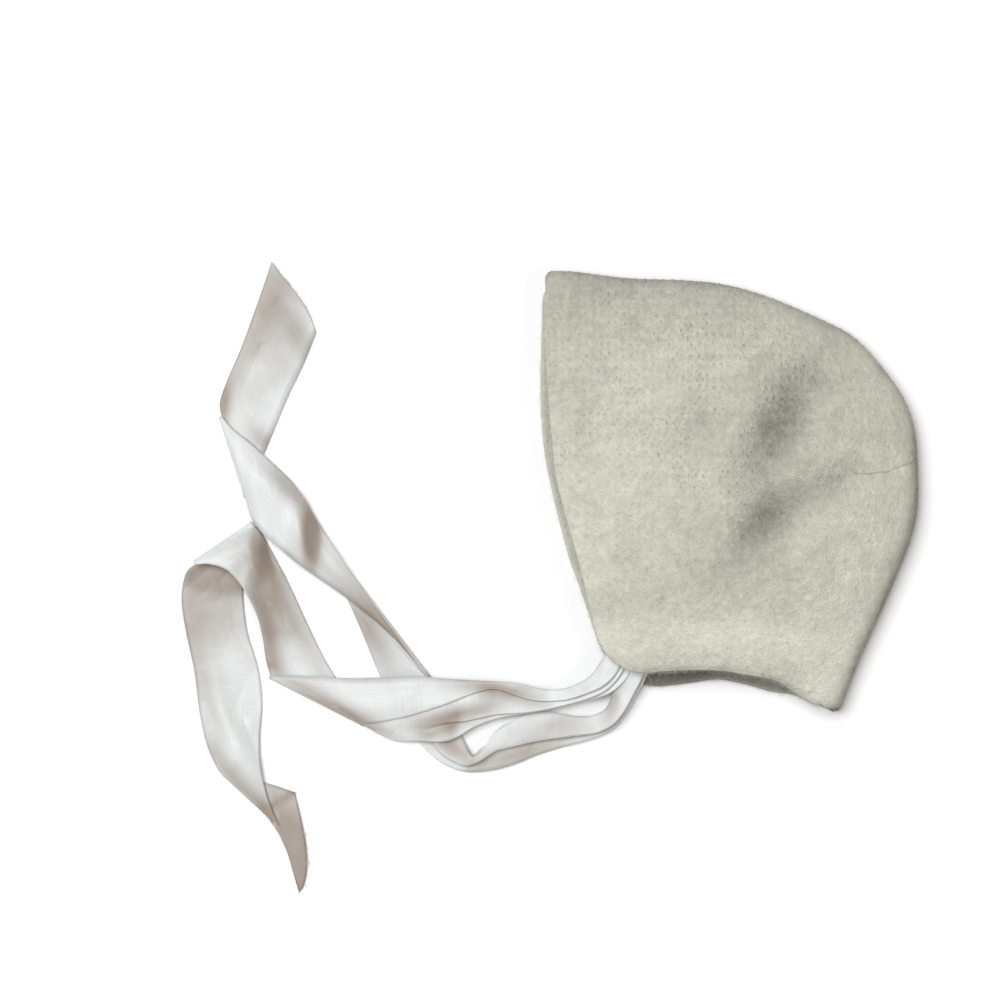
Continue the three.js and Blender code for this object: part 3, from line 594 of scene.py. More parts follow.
def felt_material(name, dark, light):
    """Felted knitting: matted fibres, small clumps, and pits between the stitches, with painted
    shade in the pits and along the dart's groove.
    """
    material, tree, principled = blank_material(
        name, Roughness=0.95, Specular_IOR_Level=0.15, Sheen_Weight=0.25, Sheen_Roughness=0.6,
        Sheen_Tint=(1.0, 0.97, 0.92, 1.0))
    place = tree.nodes.new("ShaderNodeTexCoord").outputs["Object"]

    def soft_noise(scale, detail, rough=0.5, vector=place):
        return add_node(tree, "ShaderNodeTexNoise", Vector=vector, Scale=scale, Detail=detail,
                        Roughness=rough).outputs["Fac"]

    def painted(key):
        return add_node(tree, "ShaderNodeAttribute", {"attribute_name": key}).outputs["Fac"]

    wander = add_node(tree, "ShaderNodeTexNoise", Vector=place, Scale=260.0, Detail=4.0)
    bent = add_node(tree, "ShaderNodeMix", {"data_type": "VECTOR"})
    for index, value in ((0, 0.0026), (4, place), (5, wander.outputs["Color"])):
        feed(tree, bent.inputs[index], value)
    rows = add_node(tree, "ShaderNodeMapping", Vector=bent.outputs[1],
                    Scale=(1 / (STITCH_X * MM), 1 / (STITCH_Y * MM), 1.0))
    pits = []
    for turn, low, high in ((0.0, 0.21, 0.05), (0.5, 0.16, 0.04)):
        shifted = add_node(tree, "ShaderNodeMapping", Vector=rows.outputs[0],
                           Location=(turn, turn, 0.0))
        cells = add_node(tree, "ShaderNodeTexVoronoi", {"voronoi_dimensions": "2D"},
                         Vector=shifted.outputs[0], Scale=1.0, Randomness=0.35)
        pick = add_node(tree, "ShaderNodeSeparateColor", Color=cells.outputs["Color"])
        depth = ramp(tree, cells.outputs["Distance"], low, high)
        pits.append(times(tree, depth, ramp(tree, pick.outputs["Red"], -0.2, 1.0)))
    pit = times(tree, total(tree, pits[0], pits[1], 0.8), painted("knit"))
    hairs = []
    for turn, stretch in ((0.4, 5.0), (1.7, 6.0), (2.6, 4.0)):
        turned = add_node(tree, "ShaderNodeMapping", {"vector_type": "TEXTURE"}, Vector=place,
                          Rotation=(0.2, 0.3, turn), Scale=(1.0 / stretch, 1.0, 1.0))
        hairs.append(soft_noise(620.0, 4.0, 0.6, turned.outputs[0]))
    matted = total(tree, total(tree, hairs[0], hairs[1], 1.0), hairs[2], 1.0)
    clump = ramp(tree, soft_noise(360.0, 5.0, 0.7), 0.38, 0.62)
    speck = soft_noise(1100.0, 3.0, 0.7)
    blotch = soft_noise(60.0, 4.0)
    beside = add_node(tree, "ShaderNodeMath", {"operation": "ABSOLUTE"}, Value=painted("line"))
    line = times(tree, ramp(tree, beside.outputs[0], 0.34, 0.1), painted("line_on"))
    value = painted("shade")
    # pit and line darken the colour: painted shade in the pits and along the dart's groove.
    for part, share in ((centred(tree, blotch), 0.3), (centred(tree, clump), 0.12),
                        (centred(tree, speck), 0.45), (centred(tree, matted, 1.5), 0.12),
                        (pit, -0.17), (line, -0.2)):
        value = total(tree, value, part, share)
    tree.links.new(mixed(tree, value, dark, light), principled.inputs["Base Color"])
    height = times(tree, matted, 0.6)
    for part, share in ((speck, 1.3), (clump, 0.7), (pit, -1.2), (line, -0.8)):
        height = total(tree, height, part, share)
    bump = add_node(tree, "ShaderNodeBump", Height=height, Strength=0.8, Distance=0.0009)
    tree.links.new(bump.outputs["Normal"], principled.inputs["Normal"])
    return material


def silk_material(name, dark, light, aged_and_shaded):
    """Ribbon silk: fine threads both ways, a few slubs, a soft gloss, a faint brown from the years,
    and painted shade laid in as brown.
    """
    material, tree, principled = blank_material(
        name, Roughness=0.5, Specular_IOR_Level=0.7, Sheen_Weight=0.15, Sheen_Roughness=0.4,
        Sheen_Tint=(1.0, 1.0, 1.0, 1.0))
    cloth = tree.nodes.new("ShaderNodeTexCoord").outputs["UV"]
    threads = []
    for scale in ((2600.0, 90.0, 1.0), (110.0, 2300.0, 1.0)):
        turned = add_node(tree, "ShaderNodeMapping", Vector=cloth, Scale=scale)
        threads.append(add_node(tree, "ShaderNodeTexNoise", Vector=turned.outputs[0], Scale=1.0,
                                Detail=2.0).outputs["Fac"])
    cloud = add_node(tree, "ShaderNodeTexNoise", Vector=cloth, Scale=70.0, Detail=3.0)
    both = total(tree, threads[0], threads[1], 1.0)
    value = total(tree, ramp(tree, both, 0.6, 1.4), ramp(tree, cloud.outputs["Fac"], 0.5, 0.8), 0.4)
    age_and_shade = add_node(tree, "ShaderNodeAttribute", {"attribute_name": "age_and_shade"}).outputs["Fac"]
    colour = mixed(tree, age_and_shade, mixed(tree, value, dark, light), aged_and_shaded)
    tree.links.new(colour, principled.inputs["Base Color"])
    bump = add_node(tree, "ShaderNodeBump", Height=both, Strength=0.25, Distance=0.0002)
    tree.links.new(bump.outputs["Normal"], principled.inputs["Normal"])
    return material


def yarn_material(name, colour):
    """Plied thread, a little uneven."""
    material, tree, principled = blank_material(name, Roughness=0.85, Specular_IOR_Level=0.2)
    place = tree.nodes.new("ShaderNodeTexCoord").outputs["Object"]
    speck = add_node(tree, "ShaderNodeTexNoise", Vector=place, Scale=900.0, Detail=2.0)
    dark = tuple(c * 0.82 for c in colour[:3]) + (1.0,)
    fade = ramp(tree, speck.outputs["Fac"], 0.35, 0.65)
    tree.links.new(mixed(tree, fade, dark, colour), principled.inputs["Base Color"])
    return material


def table_material():
    """A matt white table top."""
    material, tree, principled = blank_material("table_top", Roughness=0.9, Specular_IOR_Level=0.1)
    place = tree.nodes.new("ShaderNodeTexCoord").outputs["Object"]
    cloud = add_node(tree, "ShaderNodeTexNoise", Vector=place, Scale=3.0, Detail=2.0)
    colour = mixed(tree, cloud.outputs["Fac"], (0.93, 0.93, 0.93, 1), (0.96, 0.96, 0.96, 1))
    tree.links.new(colour, principled.inputs["Base Color"])
    return material


FELT = felt_material("felt_wool", (0.2, 0.193, 0.162, 1), (0.9, 0.883, 0.757, 1))
# The last colour is both the brown of the years and the colour of the painted shade.
SILK = silk_material("ribbon_silk", (0.62, 0.64, 0.635, 1), (0.765, 0.79, 0.79, 1),
                     (0.31, 0.255, 0.21, 1))
WOOL = yarn_material("wool_yarn", (0.7, 0.68, 0.595, 1))
SEAM_YARN = yarn_material("seam_yarn", (0.56, 0.545, 0.47, 1))
THREAD = yarn_material("white_thread", (0.85, 0.84, 0.81, 1))

# ---- felt panels ----
seam_line = line_through(SEAM, 160)
face_line = line_through(UPPER_FACE, 60)
neck_line = line_through(UPPER_NECK, 60)
hem_line = line_through(HEM, 20)
dart_line = line_through(DART, 24)


def upper_height(x, y):
    """Height of the upper panel's outer face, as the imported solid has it."""
    seam = distance_to(seam_line, x, y)
    face, neck = distance_to(face_line, x, y), distance_to(neck_line, x, y)
    rim = RIM_FRONT + (RIM_BACK - RIM_FRONT) * smooth((x - SEAM[0][0]) / RIM_BLEND)
    roll = np.sqrt(np.maximum(0, 1 - (1 - np.clip(seam / rim, 0, 1)) ** 2))
    puff = PUFF * (1 - np.exp(-seam / PUFF_SEAM))
    puff *= 1 - (1 - FACE_OPEN) * np.exp(-face / PUFF_FACE)
    puff *= 1 - (1 - NECK_OPEN) * np.exp(-neck / PUFF_NECK)
    dents = sum(rise * hill(x, y, *where) for _, *where, rise in DENTS)
    return SEAM_Z + GAP + rim * roll + puff + dents * smooth(seam / 15)


def lower_height(x, y):
    """Height of the lower panel's underside: flat on the table, curled up beside the seam."""
    near = 1 - np.clip(distance_to(seam_line, x, y) / LOWER_CURL, 0, 1)
    return SEAM_Z * (1 - np.sqrt(np.maximum(0, 1 - near ** 2)))


def line_mark(line, x, y, reach):
    """Signed distance from a line, and how much of the line is drawn there, for the shader."""
    near = np.argmin([np.hypot(x - px, y - py) for px, py in line[:-1]], axis=0)
    start, step = line[:-1][near], np.diff(line, axis=0)[near]
    side = step[:, 0] * (y - start[:, 1]) - step[:, 1] * (x - start[:, 0])
    away = distance_to(line, x, y)
    return np.where(side >= 0, away, -away), smooth(1 - away / reach)


def felt_relief(x, y, seam):
    """How far felting pushes the surface out, its shade with painted light and shade laid in, and
    how much knitting shows.
    Every smooth((place - start) / length) fades something in, over that length in millimetres."""
    wander = 1.2 * noise(x, y, 23, 11)
    knit = 0.35 + 0.65 * smooth((y + 45) / 60) * smooth((60 - x) / 60)
    knit *= 0.75 + 0.5 * noise(x, y, 13, 14)
    ribs = np.cos(2 * math.pi * (x + wander) / STITCH_X)
    courses = np.cos(2 * math.pi * (y + wander) / STITCH_Y)
    neck = distance_to(neck_line, x, y)
    out = sum(high * noise(x, y, cell, seed) for cell, seed, high in LUMPS)
    out += knit * (RIB_HIGH * ribs + COURSE_HIGH * courses)
    out -= HEM_DEEP * np.exp(-(distance_to(hem_line, x, y) / LINE_WIDE) ** 2)
    out -= DART_DEEP * np.exp(-(distance_to(dart_line, x, y) / LINE_WIDE) ** 2)
    out -= NECK_PRESS * np.exp(-neck / NECK_REACH) * smooth((seam - 3) / 12)
    light = OUTSIDE + sum(change * noise(x, y, cell, seed) for cell, seed, change in MOTTLE)
    # Painted light on the ribs and courses, and painted shade between them.
    light += KNIT_PAINTED_SHADE * knit * (ribs + courses)
    # Painted light and shade from the table.
    light += sum(change * hill(x, y, *where) for _, *where, change in PAINTED_LIGHT_AND_SHADE)
    light += HEM_SHADE * smooth((-56 - y) / 4)
    # Painted shade along the neck edge and along the seam's rounded rim, strongest down the back.
    light -= NECK_PAINTED_SHADE[0] * np.exp(-(neck / NECK_PAINTED_SHADE[1]) ** 2) * smooth((x + 50) / 12)
    back = smooth((36 - y) / 28)
    dark, wide = [a + (b - a) * back for a, b in zip(CROWN_PAINTED_SHADE, BACK_PAINTED_SHADE)]
    light -= dark * np.exp(-(seam / wide) ** 2)
    return out * smooth((seam - 0.5) / 5), light, knit * smooth((y + 60) / 8)


def square_grid(cells, lines):
    """A square grid whose four sides lie on the panel's outline, as x, y and the quads."""
    half = np.linspace(-1, 1, cells + 1)
    a, b = np.meshgrid(half, half, indexing="ij")
    reach = np.maximum(np.abs(a), np.abs(b))
    safe = np.maximum(reach, 1e-9)
    u, v = a / safe, b / safe
    xy = np.zeros(a.shape + (2,))
    # Sides in the order of the outline, each with the place along it from 0 to 1.
    sides = [(v >= 1 - 1e-9, (u + 1) / 2), (u >= 1 - 1e-9, (1 - v) / 2),
             (v <= -1 + 1e-9, (1 - u) / 2), (u <= -1 + 1e-9, (v + 1) / 2)]
    for line, (on, along) in zip(lines, sides):
        goal = along[on] * (len(line) - 1)
        for k in range(2):
            xy[..., k][on] = np.interp(goal, np.arange(len(line)), line[:, k])
    xy *= (1 - (1 - reach) ** CROWD)[..., None]
    index = np.arange(a.size).reshape(a.shape)
    quads = np.stack([index[:-1, :-1], index[1:, :-1], index[1:, 1:], index[:-1, 1:]], axis=-1)
    ring = np.concatenate([index[:-1, 0], index[-1, :-1], index[:0:-1, -1], index[0, :0:-1]])
    return xy.reshape(-1, 2), quads.reshape(-1, 4), ring


def panel_grid(cells, neck, face):
    """A panel's grid points, quads and outline, and each point's distance from the seam."""
    corner = share_of(SEAM, BACK_CORNER)
    lines = [line_through(SEAM, 400, (0, corner)), line_through(SEAM, 400, (corner, 1)),
             line_through(neck, 400), line_through(face, 400)]
    xy, quads, ring = square_grid(cells, lines)
    seam = distance_to(seam_line, xy[:, 0], xy[:, 1])
    # A free edge is a half circle, so its faces stop half a wall inside the outline.
    reach = np.maximum(np.linalg.norm(xy, axis=1), WALL * 8)
    inset = 1 - smooth(seam / EDGE_BLEND) * WALL / 2 / reach
    return xy * inset[:, None], quads, ring, seam


def level_outward(outline):
    """For each point of an outline, the level way out of it."""
    ahead = np.roll(outline, -2, axis=0) - np.roll(outline, 2, axis=0)
    outward = np.stack([ahead[:, 1], -ahead[:, 0], 0 * ahead[:, 0]], axis=1)
    outward *= np.sign(np.sum(outward[:, :2] * outline, axis=1))[:, None]
    return outward / np.linalg.norm(outward, axis=1)[:, None]


def round_edge(outer, inner, wanted, free):
    """Rings of points from the outer face's outline to the inner one's, which bulge most where
    the edge is free, and the way they bulge: to the side that wanted names."""
    hub, arm = (outer + inner) / 2, (outer - inner) / 2
    out = np.cross(np.roll(hub, -1, axis=0) - np.roll(hub, 1, axis=0), arm)
    out /= np.linalg.norm(out, axis=1)[:, None]
    out *= np.sign(np.sum(out * wanted, axis=1))[:, None]
    deep = (SEAM_BULGE + free * (WALL / 2 - SEAM_BULGE))[:, None]
    turns = [math.pi * k / EDGE_STEPS for k in range(1, EDGE_STEPS)]
    return [hub + arm * math.cos(turn) + out * deep * math.sin(turn) for turn in turns], out


def felt_marks(x, y, ring, light, knit, up):
    """What the shader reads at the points of the outer face, the inner face and the edge."""
    beside, drawn = line_mark(dart_line, x, y, 4.0)
    # Painted shade on the inner faces. The lower one also gets a painted shadow in the neck opening,
    # and its edge is kept no lighter than that.
    inside, rim = UPPER_INSIDE_PAINTED_SHADE + 0 * x, light[ring]
    if up < 0:
        nape = NAPE_PAINTED_SHADOW - NAPE_SHADOW_LESS * smooth((x + 18) / 26)
        inside = LOWER_INSIDE_PAINTED_SHADE - nape * smooth((-60 - y) / 7)
        rim = np.minimum(rim, inside[ring] + 0.05)

    def everywhere(values, inner, edge=None):
        edge = values[ring] if edge is None else edge
        return np.concatenate([values, inner + 0 * values, np.tile(edge, EDGE_STEPS - 1)])

    return {"shade": everywhere(light, inside, rim), "knit": everywhere(knit, 0.5),
            "line": everywhere(beside, 9.0), "line_on": everywhere(drawn, 0.0)}


def felt_panel(name, cells, neck, face, height, up):
    """One side of the bonnet: an outer and an inner face a wall apart, with rounded edges.
    Gives its piece, and the points and ways out of its outer face and of its edge."""
    xy, quads, ring, seam = panel_grid(cells, neck, face)
    x, y = xy[:, 0], xy[:, 1]
    points = np.stack([x, y, height(x, y)], axis=1)
    faces = quads if up > 0 else quads[:, ::-1]
    away = normals_of(points, faces)
    # Beside the seam the wall is cut level, so its inner face lies straight inside the outer one.
    free = smooth(seam[ring] / EDGE_BLEND)
    outward, bound = level_outward(xy[ring]), (1 - free)[:, None]
    away[ring] = outward * bound + away[ring] * (1 - bound)
    away[ring] /= np.linalg.norm(away[ring], axis=1)[:, None]
    relief, light, knit = felt_relief(x, y, seam)
    outer = points + away * (relief if up > 0 else relief * UNDER_RELIEF)[:, None]
    inner = points - away * (WALL + INNER_LUMP * noise(x, y, 5, 31) * smooth(seam / 6))[:, None]
    wanted = outward * (1 - bound) - np.array([0, 0, up]) * bound
    if up < 0:
        outer[:, 2] = np.maximum(outer[:, 2], 0)
    edge, out = round_edge(outer[ring], inner[ring], wanted, free)
    everything = np.vstack([outer, inner, *edge])
    # The seam parts the panels, so neither reaches past it.
    low, high = (SEAM_Z + GAP, None) if up > 0 else (None, SEAM_Z)
    everything[:, 2] = np.clip(everything[:, 2], low, high)
    count = len(points)
    rings = [ring] + [2 * count + k * len(ring) + np.arange(len(ring)) for k in range(len(edge))]
    rings.append(count + ring)
    sides = []
    for first, second in zip(rings[:-1], rings[1:]):
        quad = np.stack([first, second, np.roll(second, -1), np.roll(first, -1)], axis=1)
        sides.append(quad if up > 0 else quad[:, ::-1])
    all_faces = np.vstack([faces, (faces + count)[:, ::-1], *sides])
    piece = make_object(name, everything, all_faces, FELT, felt_marks(x, y, ring, light, knit, up))
    return piece, (outer, away), (edge[EDGE_STEPS // 2 - 1], out)


felt_left, upper_skin, upper_edge = felt_panel(
    "felt_panel_left", GRID_UPPER, UPPER_NECK, UPPER_FACE, upper_height, 1)
felt_right, lower_skin, lower_edge = felt_panel(
    "felt_panel_right", GRID_LOWER, LOWER_NECK, LOWER_FACE, lower_height, -1)


# ---- ribbons ----
def section(chord, tucks, lines, bend):
    """A line across a ribbon with its ends a chord apart: [across, up] of each node, and the
    place of each node in the cloth."""
    cloth = chord + sum(tucks)
    sizes = [max(1.25 * bend, 0.55 * tuck) for tuck in tucks]
    middles, used = [], 0.0
    for tuck, line in zip(tucks, lines):
        middles.append(line * chord + used + 0.75 * tuck)
        used += tuck
    low = 0.0
    for k, size in enumerate(sizes):
        middles[k] = max(middles[k], low + (size + bend) / 2 + 0.2)
        low = middles[k] + (size + bend) / 2
    high = cloth
    for k in reversed(range(len(sizes))):
        middles[k] = min(middles[k], high - (sizes[k] + bend) / 2 - 0.2)
        high = middles[k] - (sizes[k] + bend) / 2
    stops = [0.0]
    for middle, size in zip(middles, sizes):
        for place in (middle - size / 2, middle + size / 2):
            stops += [place - bend / 2, place + bend / 2]
    stops.append(cloth)
    nodes = [0.0]
    for k, (start, end) in enumerate(zip(stops[:-1], stops[1:])):
        count = BEND_NODES if k % 2 else BAND_NODES
        nodes += list(np.linspace(start, end, count + 1)[1:])
    nodes = np.array(nodes)
    fine = np.linspace(0, cloth, 500)
    shape = np.zeros_like(fine)
    for k, tuck in enumerate(tucks):
        rise = climb(fine, stops[4 * k + 1], bend) - climb(fine, stops[4 * k + 3], bend)
        shape += rise * min(1.0, tuck / (0.6 * bend))

    def bent(turn):
        angle = turn * (shape[1:] + shape[:-1]) / 2
        step = fine[1] - fine[0]
        x = np.concatenate([[0], np.cumsum(np.cos(angle) * step)])
        y = np.concatenate([[0], np.cumsum(np.sin(angle) * step)])
        return x, y

    least, most = 0.0, math.pi
    if sum(tucks) > 0.02:
        for _ in range(24):
            turn = (least + most) / 2
            x, y = bent(turn)
            if math.hypot(x[-1], y[-1]) > chord:
                least = turn
            else:
                most = turn
    x, y = bent(least)
    size = math.hypot(x[-1], y[-1])
    x, y = (x * x[-1] + y * y[-1]) / size, (y * x[-1] - x * y[-1]) / size
    scale = chord / size
    return np.interp(nodes, fine, x * scale), np.interp(nodes, fine, y * scale), nodes


def unrolled(line):
    """A line of a tie's table as rows: a fold is spelled out round its roll."""
    if "roll" not in line:
        return [line]
    left, right = np.array(line["left"], float), np.array(line["right"], float)
    across = right - left
    away = np.array([-across[1], across[0]]) / np.linalg.norm(across) * line["side"]
    half = (line["to"] - line["from"]) / 2
    low = min(line["from"], line["to"])
    rows = []
    for k in range(ROLL_STEPS + 1):
        turn = math.pi * k / ROLL_STEPS
        ends = []
        for place, roll in zip((left, right), line["roll"]):
            out = abs(half) * min(roll, MOST_DRAWN_IN) * (1 - math.sin(turn))
            rise = (line["from"] + half * (1 - math.cos(turn)) - low) * roll
            ends.append((*(place + away * out), low + rise))
        rows.append(row(*ends))
    return rows


def ply_grid(lines, bend):
    """Points of a tie's middle surface along and across it, the place of each in the cloth, and
    the line of the table that each row of points is at."""
    spelled = [unrolled(line) for line in lines]
    rows = [one for some in spelled for one in some]
    marks = [k + 0.5 * (j / max(1, len(some) - 1) - 0.5) * (len(some) > 1)
             for k, some in enumerate(spelled) for j in range(len(some))]
    ends = [np.array([r[which] for r in rows], float) for which in ("left", "right")]
    far = np.maximum(*[np.linalg.norm(np.diff(e, axis=0), axis=1) for e in ends])
    steps = [k + np.arange(n) / n for k, n in enumerate(np.ceil(far / STEP).astype(int))]
    at = np.concatenate([*steps, [len(rows) - 1]])
    left, right = through(ends[0], at), through(ends[1], at)

    def column(values):
        plain = np.pad(np.interp(at, np.arange(len(rows)), values), 3, mode="edge")
        return np.convolve(plain, np.ones(7) / 7, mode="valid")

    used = range(2 if any(r["tucks"][1] > 0 for r in rows) else 1)
    tucks, shares = [[column([r[key][k] for r in rows]) for k in used] for key in ("tucks", "lines")]
    bow, bulge, peak = [column([r[key] for r in rows]) for key in ("bow", "bulge", "peak")]
    grid, cloth = [], []
    for i in range(len(at)):
        across = right[i] - left[i]
        chord = np.linalg.norm(across)
        along = across / chord
        up = np.array([0, 0, 1.0]) - along * along[2]
        up /= np.linalg.norm(up)
        onward = np.array([along[1], -along[0], 0])
        onward /= np.linalg.norm(onward)
        x, y, nodes = section(chord, [t[i] for t in tucks], [s[i] for s in shares], bend)
        share = np.clip(x / chord, 0, 1)
        lean = math.log(0.5) / math.log(peak[i])
        points = left[i] + np.outer(x, along) + np.outer(y + bow[i] * np.sin(math.pi * share), up)
        points -= np.outer(bulge[i] * np.sin(math.pi * share ** lean), onward)
        points[:, 2] += max(0.0, min(left[i][2], right[i][2]) - points[:, 2].min())
        grid.append(points)
        cloth.append(nodes / nodes[-1] * RIBBON)
    return np.array(grid), np.array(cloth), np.interp(at, np.arange(len(rows)), marks)


def between(mark, first, last):
    """1 on the table's lines from first to last, fading beside them."""
    return (smooth((mark - first) / FADE + 0.5) * smooth((last - mark) / FADE + 0.5))[:, None]


def ribbon_lift(x, y, cloth, far, mark, waves, creases, seed):
    """How far swells, wrinkles, waves and creases lift each point of a tie."""
    lift = sum(high * noise(cloth, far, cell, seed + k) for k, (cell, high) in enumerate(SWELLS))
    for cell, deep in WRINKLES:
        lift -= deep * (1 - np.abs(noise(cloth, far, cell, seed + cell))) ** 9
    for _, first, last, *where, rise in waves:
        lift += between(mark, first, last) * rise * hill(x, y, *where)
    for _, first, last, start, end, width, deep in creases:
        near = distance_to(np.array([start, end], float), x, y)
        lift -= between(mark, first, last) * deep * np.exp(-near / width)
    return lift


def ribbon_age_and_shade(x, y, cloth, far, mark, painted_shade, seed):
    """How brown each point of a tie is, from 0 to 1: a faint brown from the years, and painted shade
    from the tables.
    """
    base, change, cell = AGED
    age_and_shade = base + change * noise(cloth, far, cell, seed)
    # Painted shade and shadow from the tables, laid in as brown.
    for _, first, last, *where, brown in painted_shade:
        age_and_shade += PAINTED_SHADE_STRENGTH * between(mark, first, last) * brown * hill(x, y, *where)
    return np.clip(age_and_shade, 0, 1)


def closed_sheet(grid, cloth):
    """Points and faces of a thin closed sheet about the grid, thicker at its selvedges."""
    out = np.cross(np.gradient(grid, axis=0), np.gradient(grid, axis=1))
    out /= np.maximum(np.linalg.norm(out, axis=2), 1e-9)[..., None]
    edge = np.minimum(cloth, RIBBON - cloth)
    thick = (CLOTH + SELVEDGE * smooth(1 - edge / SELVEDGE_WIDE))[..., None]
    points = np.vstack([(grid + out * s * thick / 2).reshape(-1, 3) for s in (1, -1)])
    points[:, 2] = np.maximum(points[:, 2], 0.02)
    index = np.arange(cloth.size).reshape(cloth.shape)
    top = np.stack([index[:-1, :-1], index[1:, :-1], index[1:, 1:], index[:-1, 1:]], -1)
    top = top.reshape(-1, 4)
    rim = np.concatenate([index[0, :-1], index[:-1, -1], index[-1, :0:-1], index[:0:-1, 0]])
    after = np.roll(rim, -1)
    side = np.stack([rim, after, after + index.size, rim + index.size], axis=1)
    return points, np.vstack([top, (top + index.size)[:, ::-1], side])


def ribbon(name, lines, bend, waves, creases, painted_shade, seed):
    """A tie as a thin closed sheet that follows its table. Gives its piece, its grid and the
    length of its middle line."""
    grid, cloth, mark = ply_grid(lines, bend)
    middle = grid[:, cloth.shape[1] // 2]
    walked = np.concatenate([[0], np.cumsum(np.linalg.norm(np.diff(middle, axis=0), axis=1))])
    far = walked[:, None] + 0 * cloth
    x, y = grid[..., 0], grid[..., 1]
    lift = ribbon_lift(x, y, cloth, far, mark, waves, creases, seed)
    age_and_shade = ribbon_age_and_shade(x, y, cloth, far, mark, painted_shade, seed + 2)
    grid[..., 2] = np.maximum(grid[..., 2] + lift, LOWEST)
    points, faces = closed_sheet(grid, cloth)
    uv = np.stack([cloth, far], axis=-1).reshape(-1, 2) * MM
    marks = {"age_and_shade": np.tile(age_and_shade.ravel(), 2)}
    piece = make_object(name, points, faces, SILK, marks, np.vstack([uv, uv]))
    return piece, grid, float(walked[-1])


ribbon_right, grid_right, long_right = ribbon(
    "ribbon_tie_right", TIE_RIGHT, BEND_RIGHT, WAVES_RIGHT, CREASES_RIGHT, PAINTED_SHADE_RIGHT, 51)
ribbon_left, grid_left, long_left = ribbon(
    "ribbon_tie_left", TIE_LEFT, BEND_LEFT, WAVES_LEFT, CREASES_LEFT, PAINTED_SHADE_LEFT, 61)


# ---- loose fibres, stitches and threads ----
def fibres(roots, ways, length, random):
    """A curled line from each root: [roots, nodes, 3]."""
    count = len(roots)
    ways = ways / np.linalg.norm(ways, axis=1)[:, None]
    ways = ways + random.normal(0, 0.55, (count, 3))
    ways /= np.linalg.norm(ways, axis=1)[:, None]
    bend = np.cross(ways, random.normal(0, 1, (count, 3)))
    bend /= np.linalg.norm(bend, axis=1)[:, None]
    reach = random.uniform(length[0], length[1], count)[:, None]
    curl = random.uniform(0.2, 1.1, count)[:, None]
    lines = []
    for k in range(FIBRE_NODES):
        part = k / (FIBRE_NODES - 1)
        turn = curl * 2.2 * part
        lines.append(roots + reach * (ways * np.sin(turn) / (2.2 * curl)
                                      + bend * (1 - np.cos(turn)) / (2.2 * curl)))
    lines = np.stack(lines, axis=1)
    lines[..., 2] = np.maximum(lines[..., 2], 0.06)
    return lines


def fuzz(name, skin, rim, on_skin, on_rim, seed):
    """Fibres that stand out of a panel's face and out of its edge."""
    random = np.random.default_rng(seed)
    pick = random.integers(0, len(skin[0]), on_skin)
    side = random.normal(0, 1, (on_skin, 3))
    lying = fibres(skin[0][pick] - 0.05 * skin[1][pick], side * 0.8 + skin[1][pick] * 0.7,
                   (0.8, 2.6), random)
    pick = random.integers(0, len(rim[0]), on_rim)
    edge = fibres(rim[0][pick] - 0.1 * rim[1][pick], rim[1][pick] * 1.1, (0.7, 2.4), random)
    return tubes(name, list(lying) + list(edge), FIBRE, 3, WOOL)


def overcast(seed):
    """The overcast stitches that close the seam, as lines."""
    random = np.random.default_rng(seed)
    places = line_through(SEAM, STITCHES + 1)
    lines = []
    for k in range(1, STITCHES + 1):
        ahead = places[k + 1] - places[k - 1]
        ahead /= np.linalg.norm(ahead)
        outward = np.array([-ahead[1], ahead[0]])
        outward *= math.copysign(1, outward @ places[k])
        slant = 0.7 + random.uniform(-0.25, 0.25)
        stitch = []
        for turn in np.linspace(-1, 1, 9):
            deep = -0.95 + 1.02 * math.cos(turn * math.pi / 2)
            spot = places[k] + outward * deep + ahead * slant * turn
            stitch.append((*spot, SEAM_Z + GAP / 2 + STITCH_HIGH * math.sin(turn * math.pi / 2)))
        lines.append(stitch)
    return lines


def frayed(grid, length, seed):
    """Short thread ends along the cut end of a tie."""
    random = np.random.default_rng(seed)
    ways = grid[-1] - grid[-3]
    pick = random.integers(0, len(grid[-1]), FRAYS)
    return list(fibres(grid[-1][pick] - 0.02 * ways[pick], 2.2 * ways[pick], length, random))


fuzz_left = fuzz("felt_fuzz_left", upper_skin, upper_edge, 1800, 2600, 71)
fuzz_right = fuzz("felt_fuzz_right", lower_skin, lower_edge, 0, 1800, 72)
stitches = tubes("seam_stitches", overcast(81), STITCH_YARN, 6, SEAM_YARN)
loose_thread = through(LOOSE_THREAD, np.linspace(0, len(LOOSE_THREAD) - 1, 24))
threads_right = tubes("thread_ends_right", frayed(grid_right, (0.4, 1.4), 91), 0.05, 4, THREAD)
threads_left = tubes(
    "thread_ends_left", frayed(grid_left, (0.5, 2.0), 92) + [loose_thread], 0.07, 4, THREAD)

# ---- what holds on to the bodies ----
table_top = bpy.data.meshes.new("table")
table_top.from_pydata([(-3, -3, -0.0003), (3, -3, -0.0003), (3, 3, -0.0003), (-3, 3, -0.0003)],
                      [], [(0, 1, 2, 3)])
table_top.materials.append(table_material())
table = bpy.data.objects.new("table", table_top)
bpy.context.scene.collection.objects.link(table)

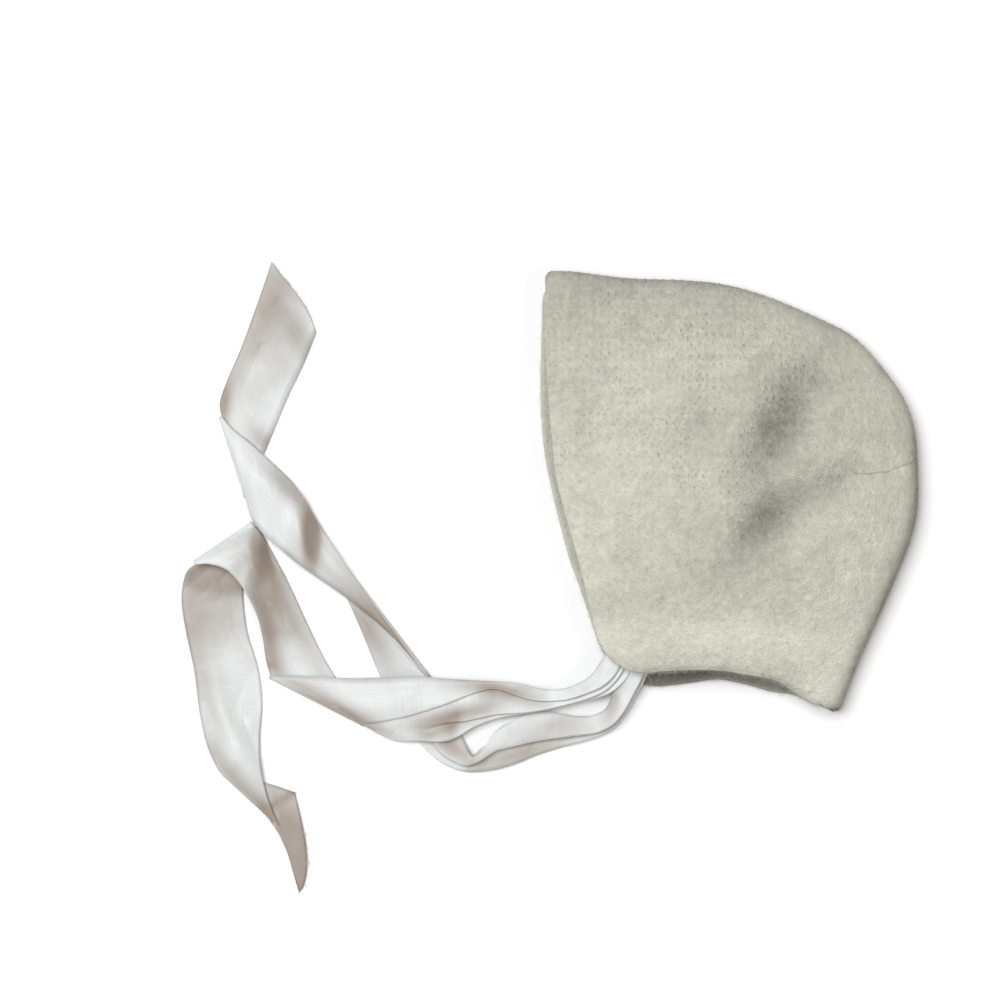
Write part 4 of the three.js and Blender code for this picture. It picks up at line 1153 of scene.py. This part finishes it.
for piece, node, slot in (
    (felt_left, "side_panel_left", "felt"),
    (felt_right, "side_panel_right", "felt"),
    (ribbon_left, "tie_left", "ribbon"),
    (ribbon_right, "tie_right", "ribbon"),
):
    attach(piece, "root")
    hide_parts(node)
for piece, slot in ((fuzz_left, "felt"), (fuzz_right, "felt"), (stitches, "felt"),
                    (threads_left, "ribbon"), (threads_right, "ribbon")):
    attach(piece, "root")


# ---- light and camera ----
def aim(thing, target):
    """Turns a light or camera at a place so that it looks at target."""
    direction = target - thing.location
    thing.rotation_euler = direction.to_track_quat("-Z", "Y").to_euler()


def soft_light(name, turn, tilt, far, size, power, colour):
    """A square soft box, at that compass turn and height angle from the object's middle."""
    light = bpy.data.lights.new(name, "AREA")
    light.energy = power
    light.size = size
    light.color = colour
    made = bpy.data.objects.new(name, light)
    turn, tilt = math.radians(turn), math.radians(tilt)
    made.location = target + far * Vector(
        (math.cos(turn) * math.cos(tilt), math.sin(turn) * math.cos(tilt), math.sin(tilt)))
    aim(made, target)
    bpy.context.scene.collection.objects.link(made)


low, high = cad_box
target = Vector(((low[0] + high[0]) / 2, (low[1] + high[1]) / 2, 0.0))
soft_light("key", 148, 68, 4.0, 2.6, 156.0, (0.95, 0.98, 1.0))
soft_light("fill", -30, 42, 4.0, 2.4, 30.0, (1.0, 0.97, 0.94))
world = bpy.data.worlds.new("studio")
world.use_nodes = True
sky = world.node_tree.nodes["Background"]
sky.inputs["Color"].default_value = (1.0, 0.91, 0.84, 1)
sky.inputs["Strength"].default_value = 0.25
bpy.context.scene.world = world
bpy.context.scene.view_settings.view_transform = "Standard"

FRAME_WIDE = 0.42       # what the camera sees of the table
CAMERA_AT = (-0.0958, -0.0034, 2.0)
SENSOR = 36.0
camera_data = bpy.data.cameras.new("camera")
camera_data.sensor_width = SENSOR
camera_data.lens = SENSOR * CAMERA_AT[2] / FRAME_WIDE
camera = bpy.data.objects.new("camera", camera_data)
camera.location = CAMERA_AT
bpy.context.scene.collection.objects.link(camera)
bpy.context.scene.camera = camera
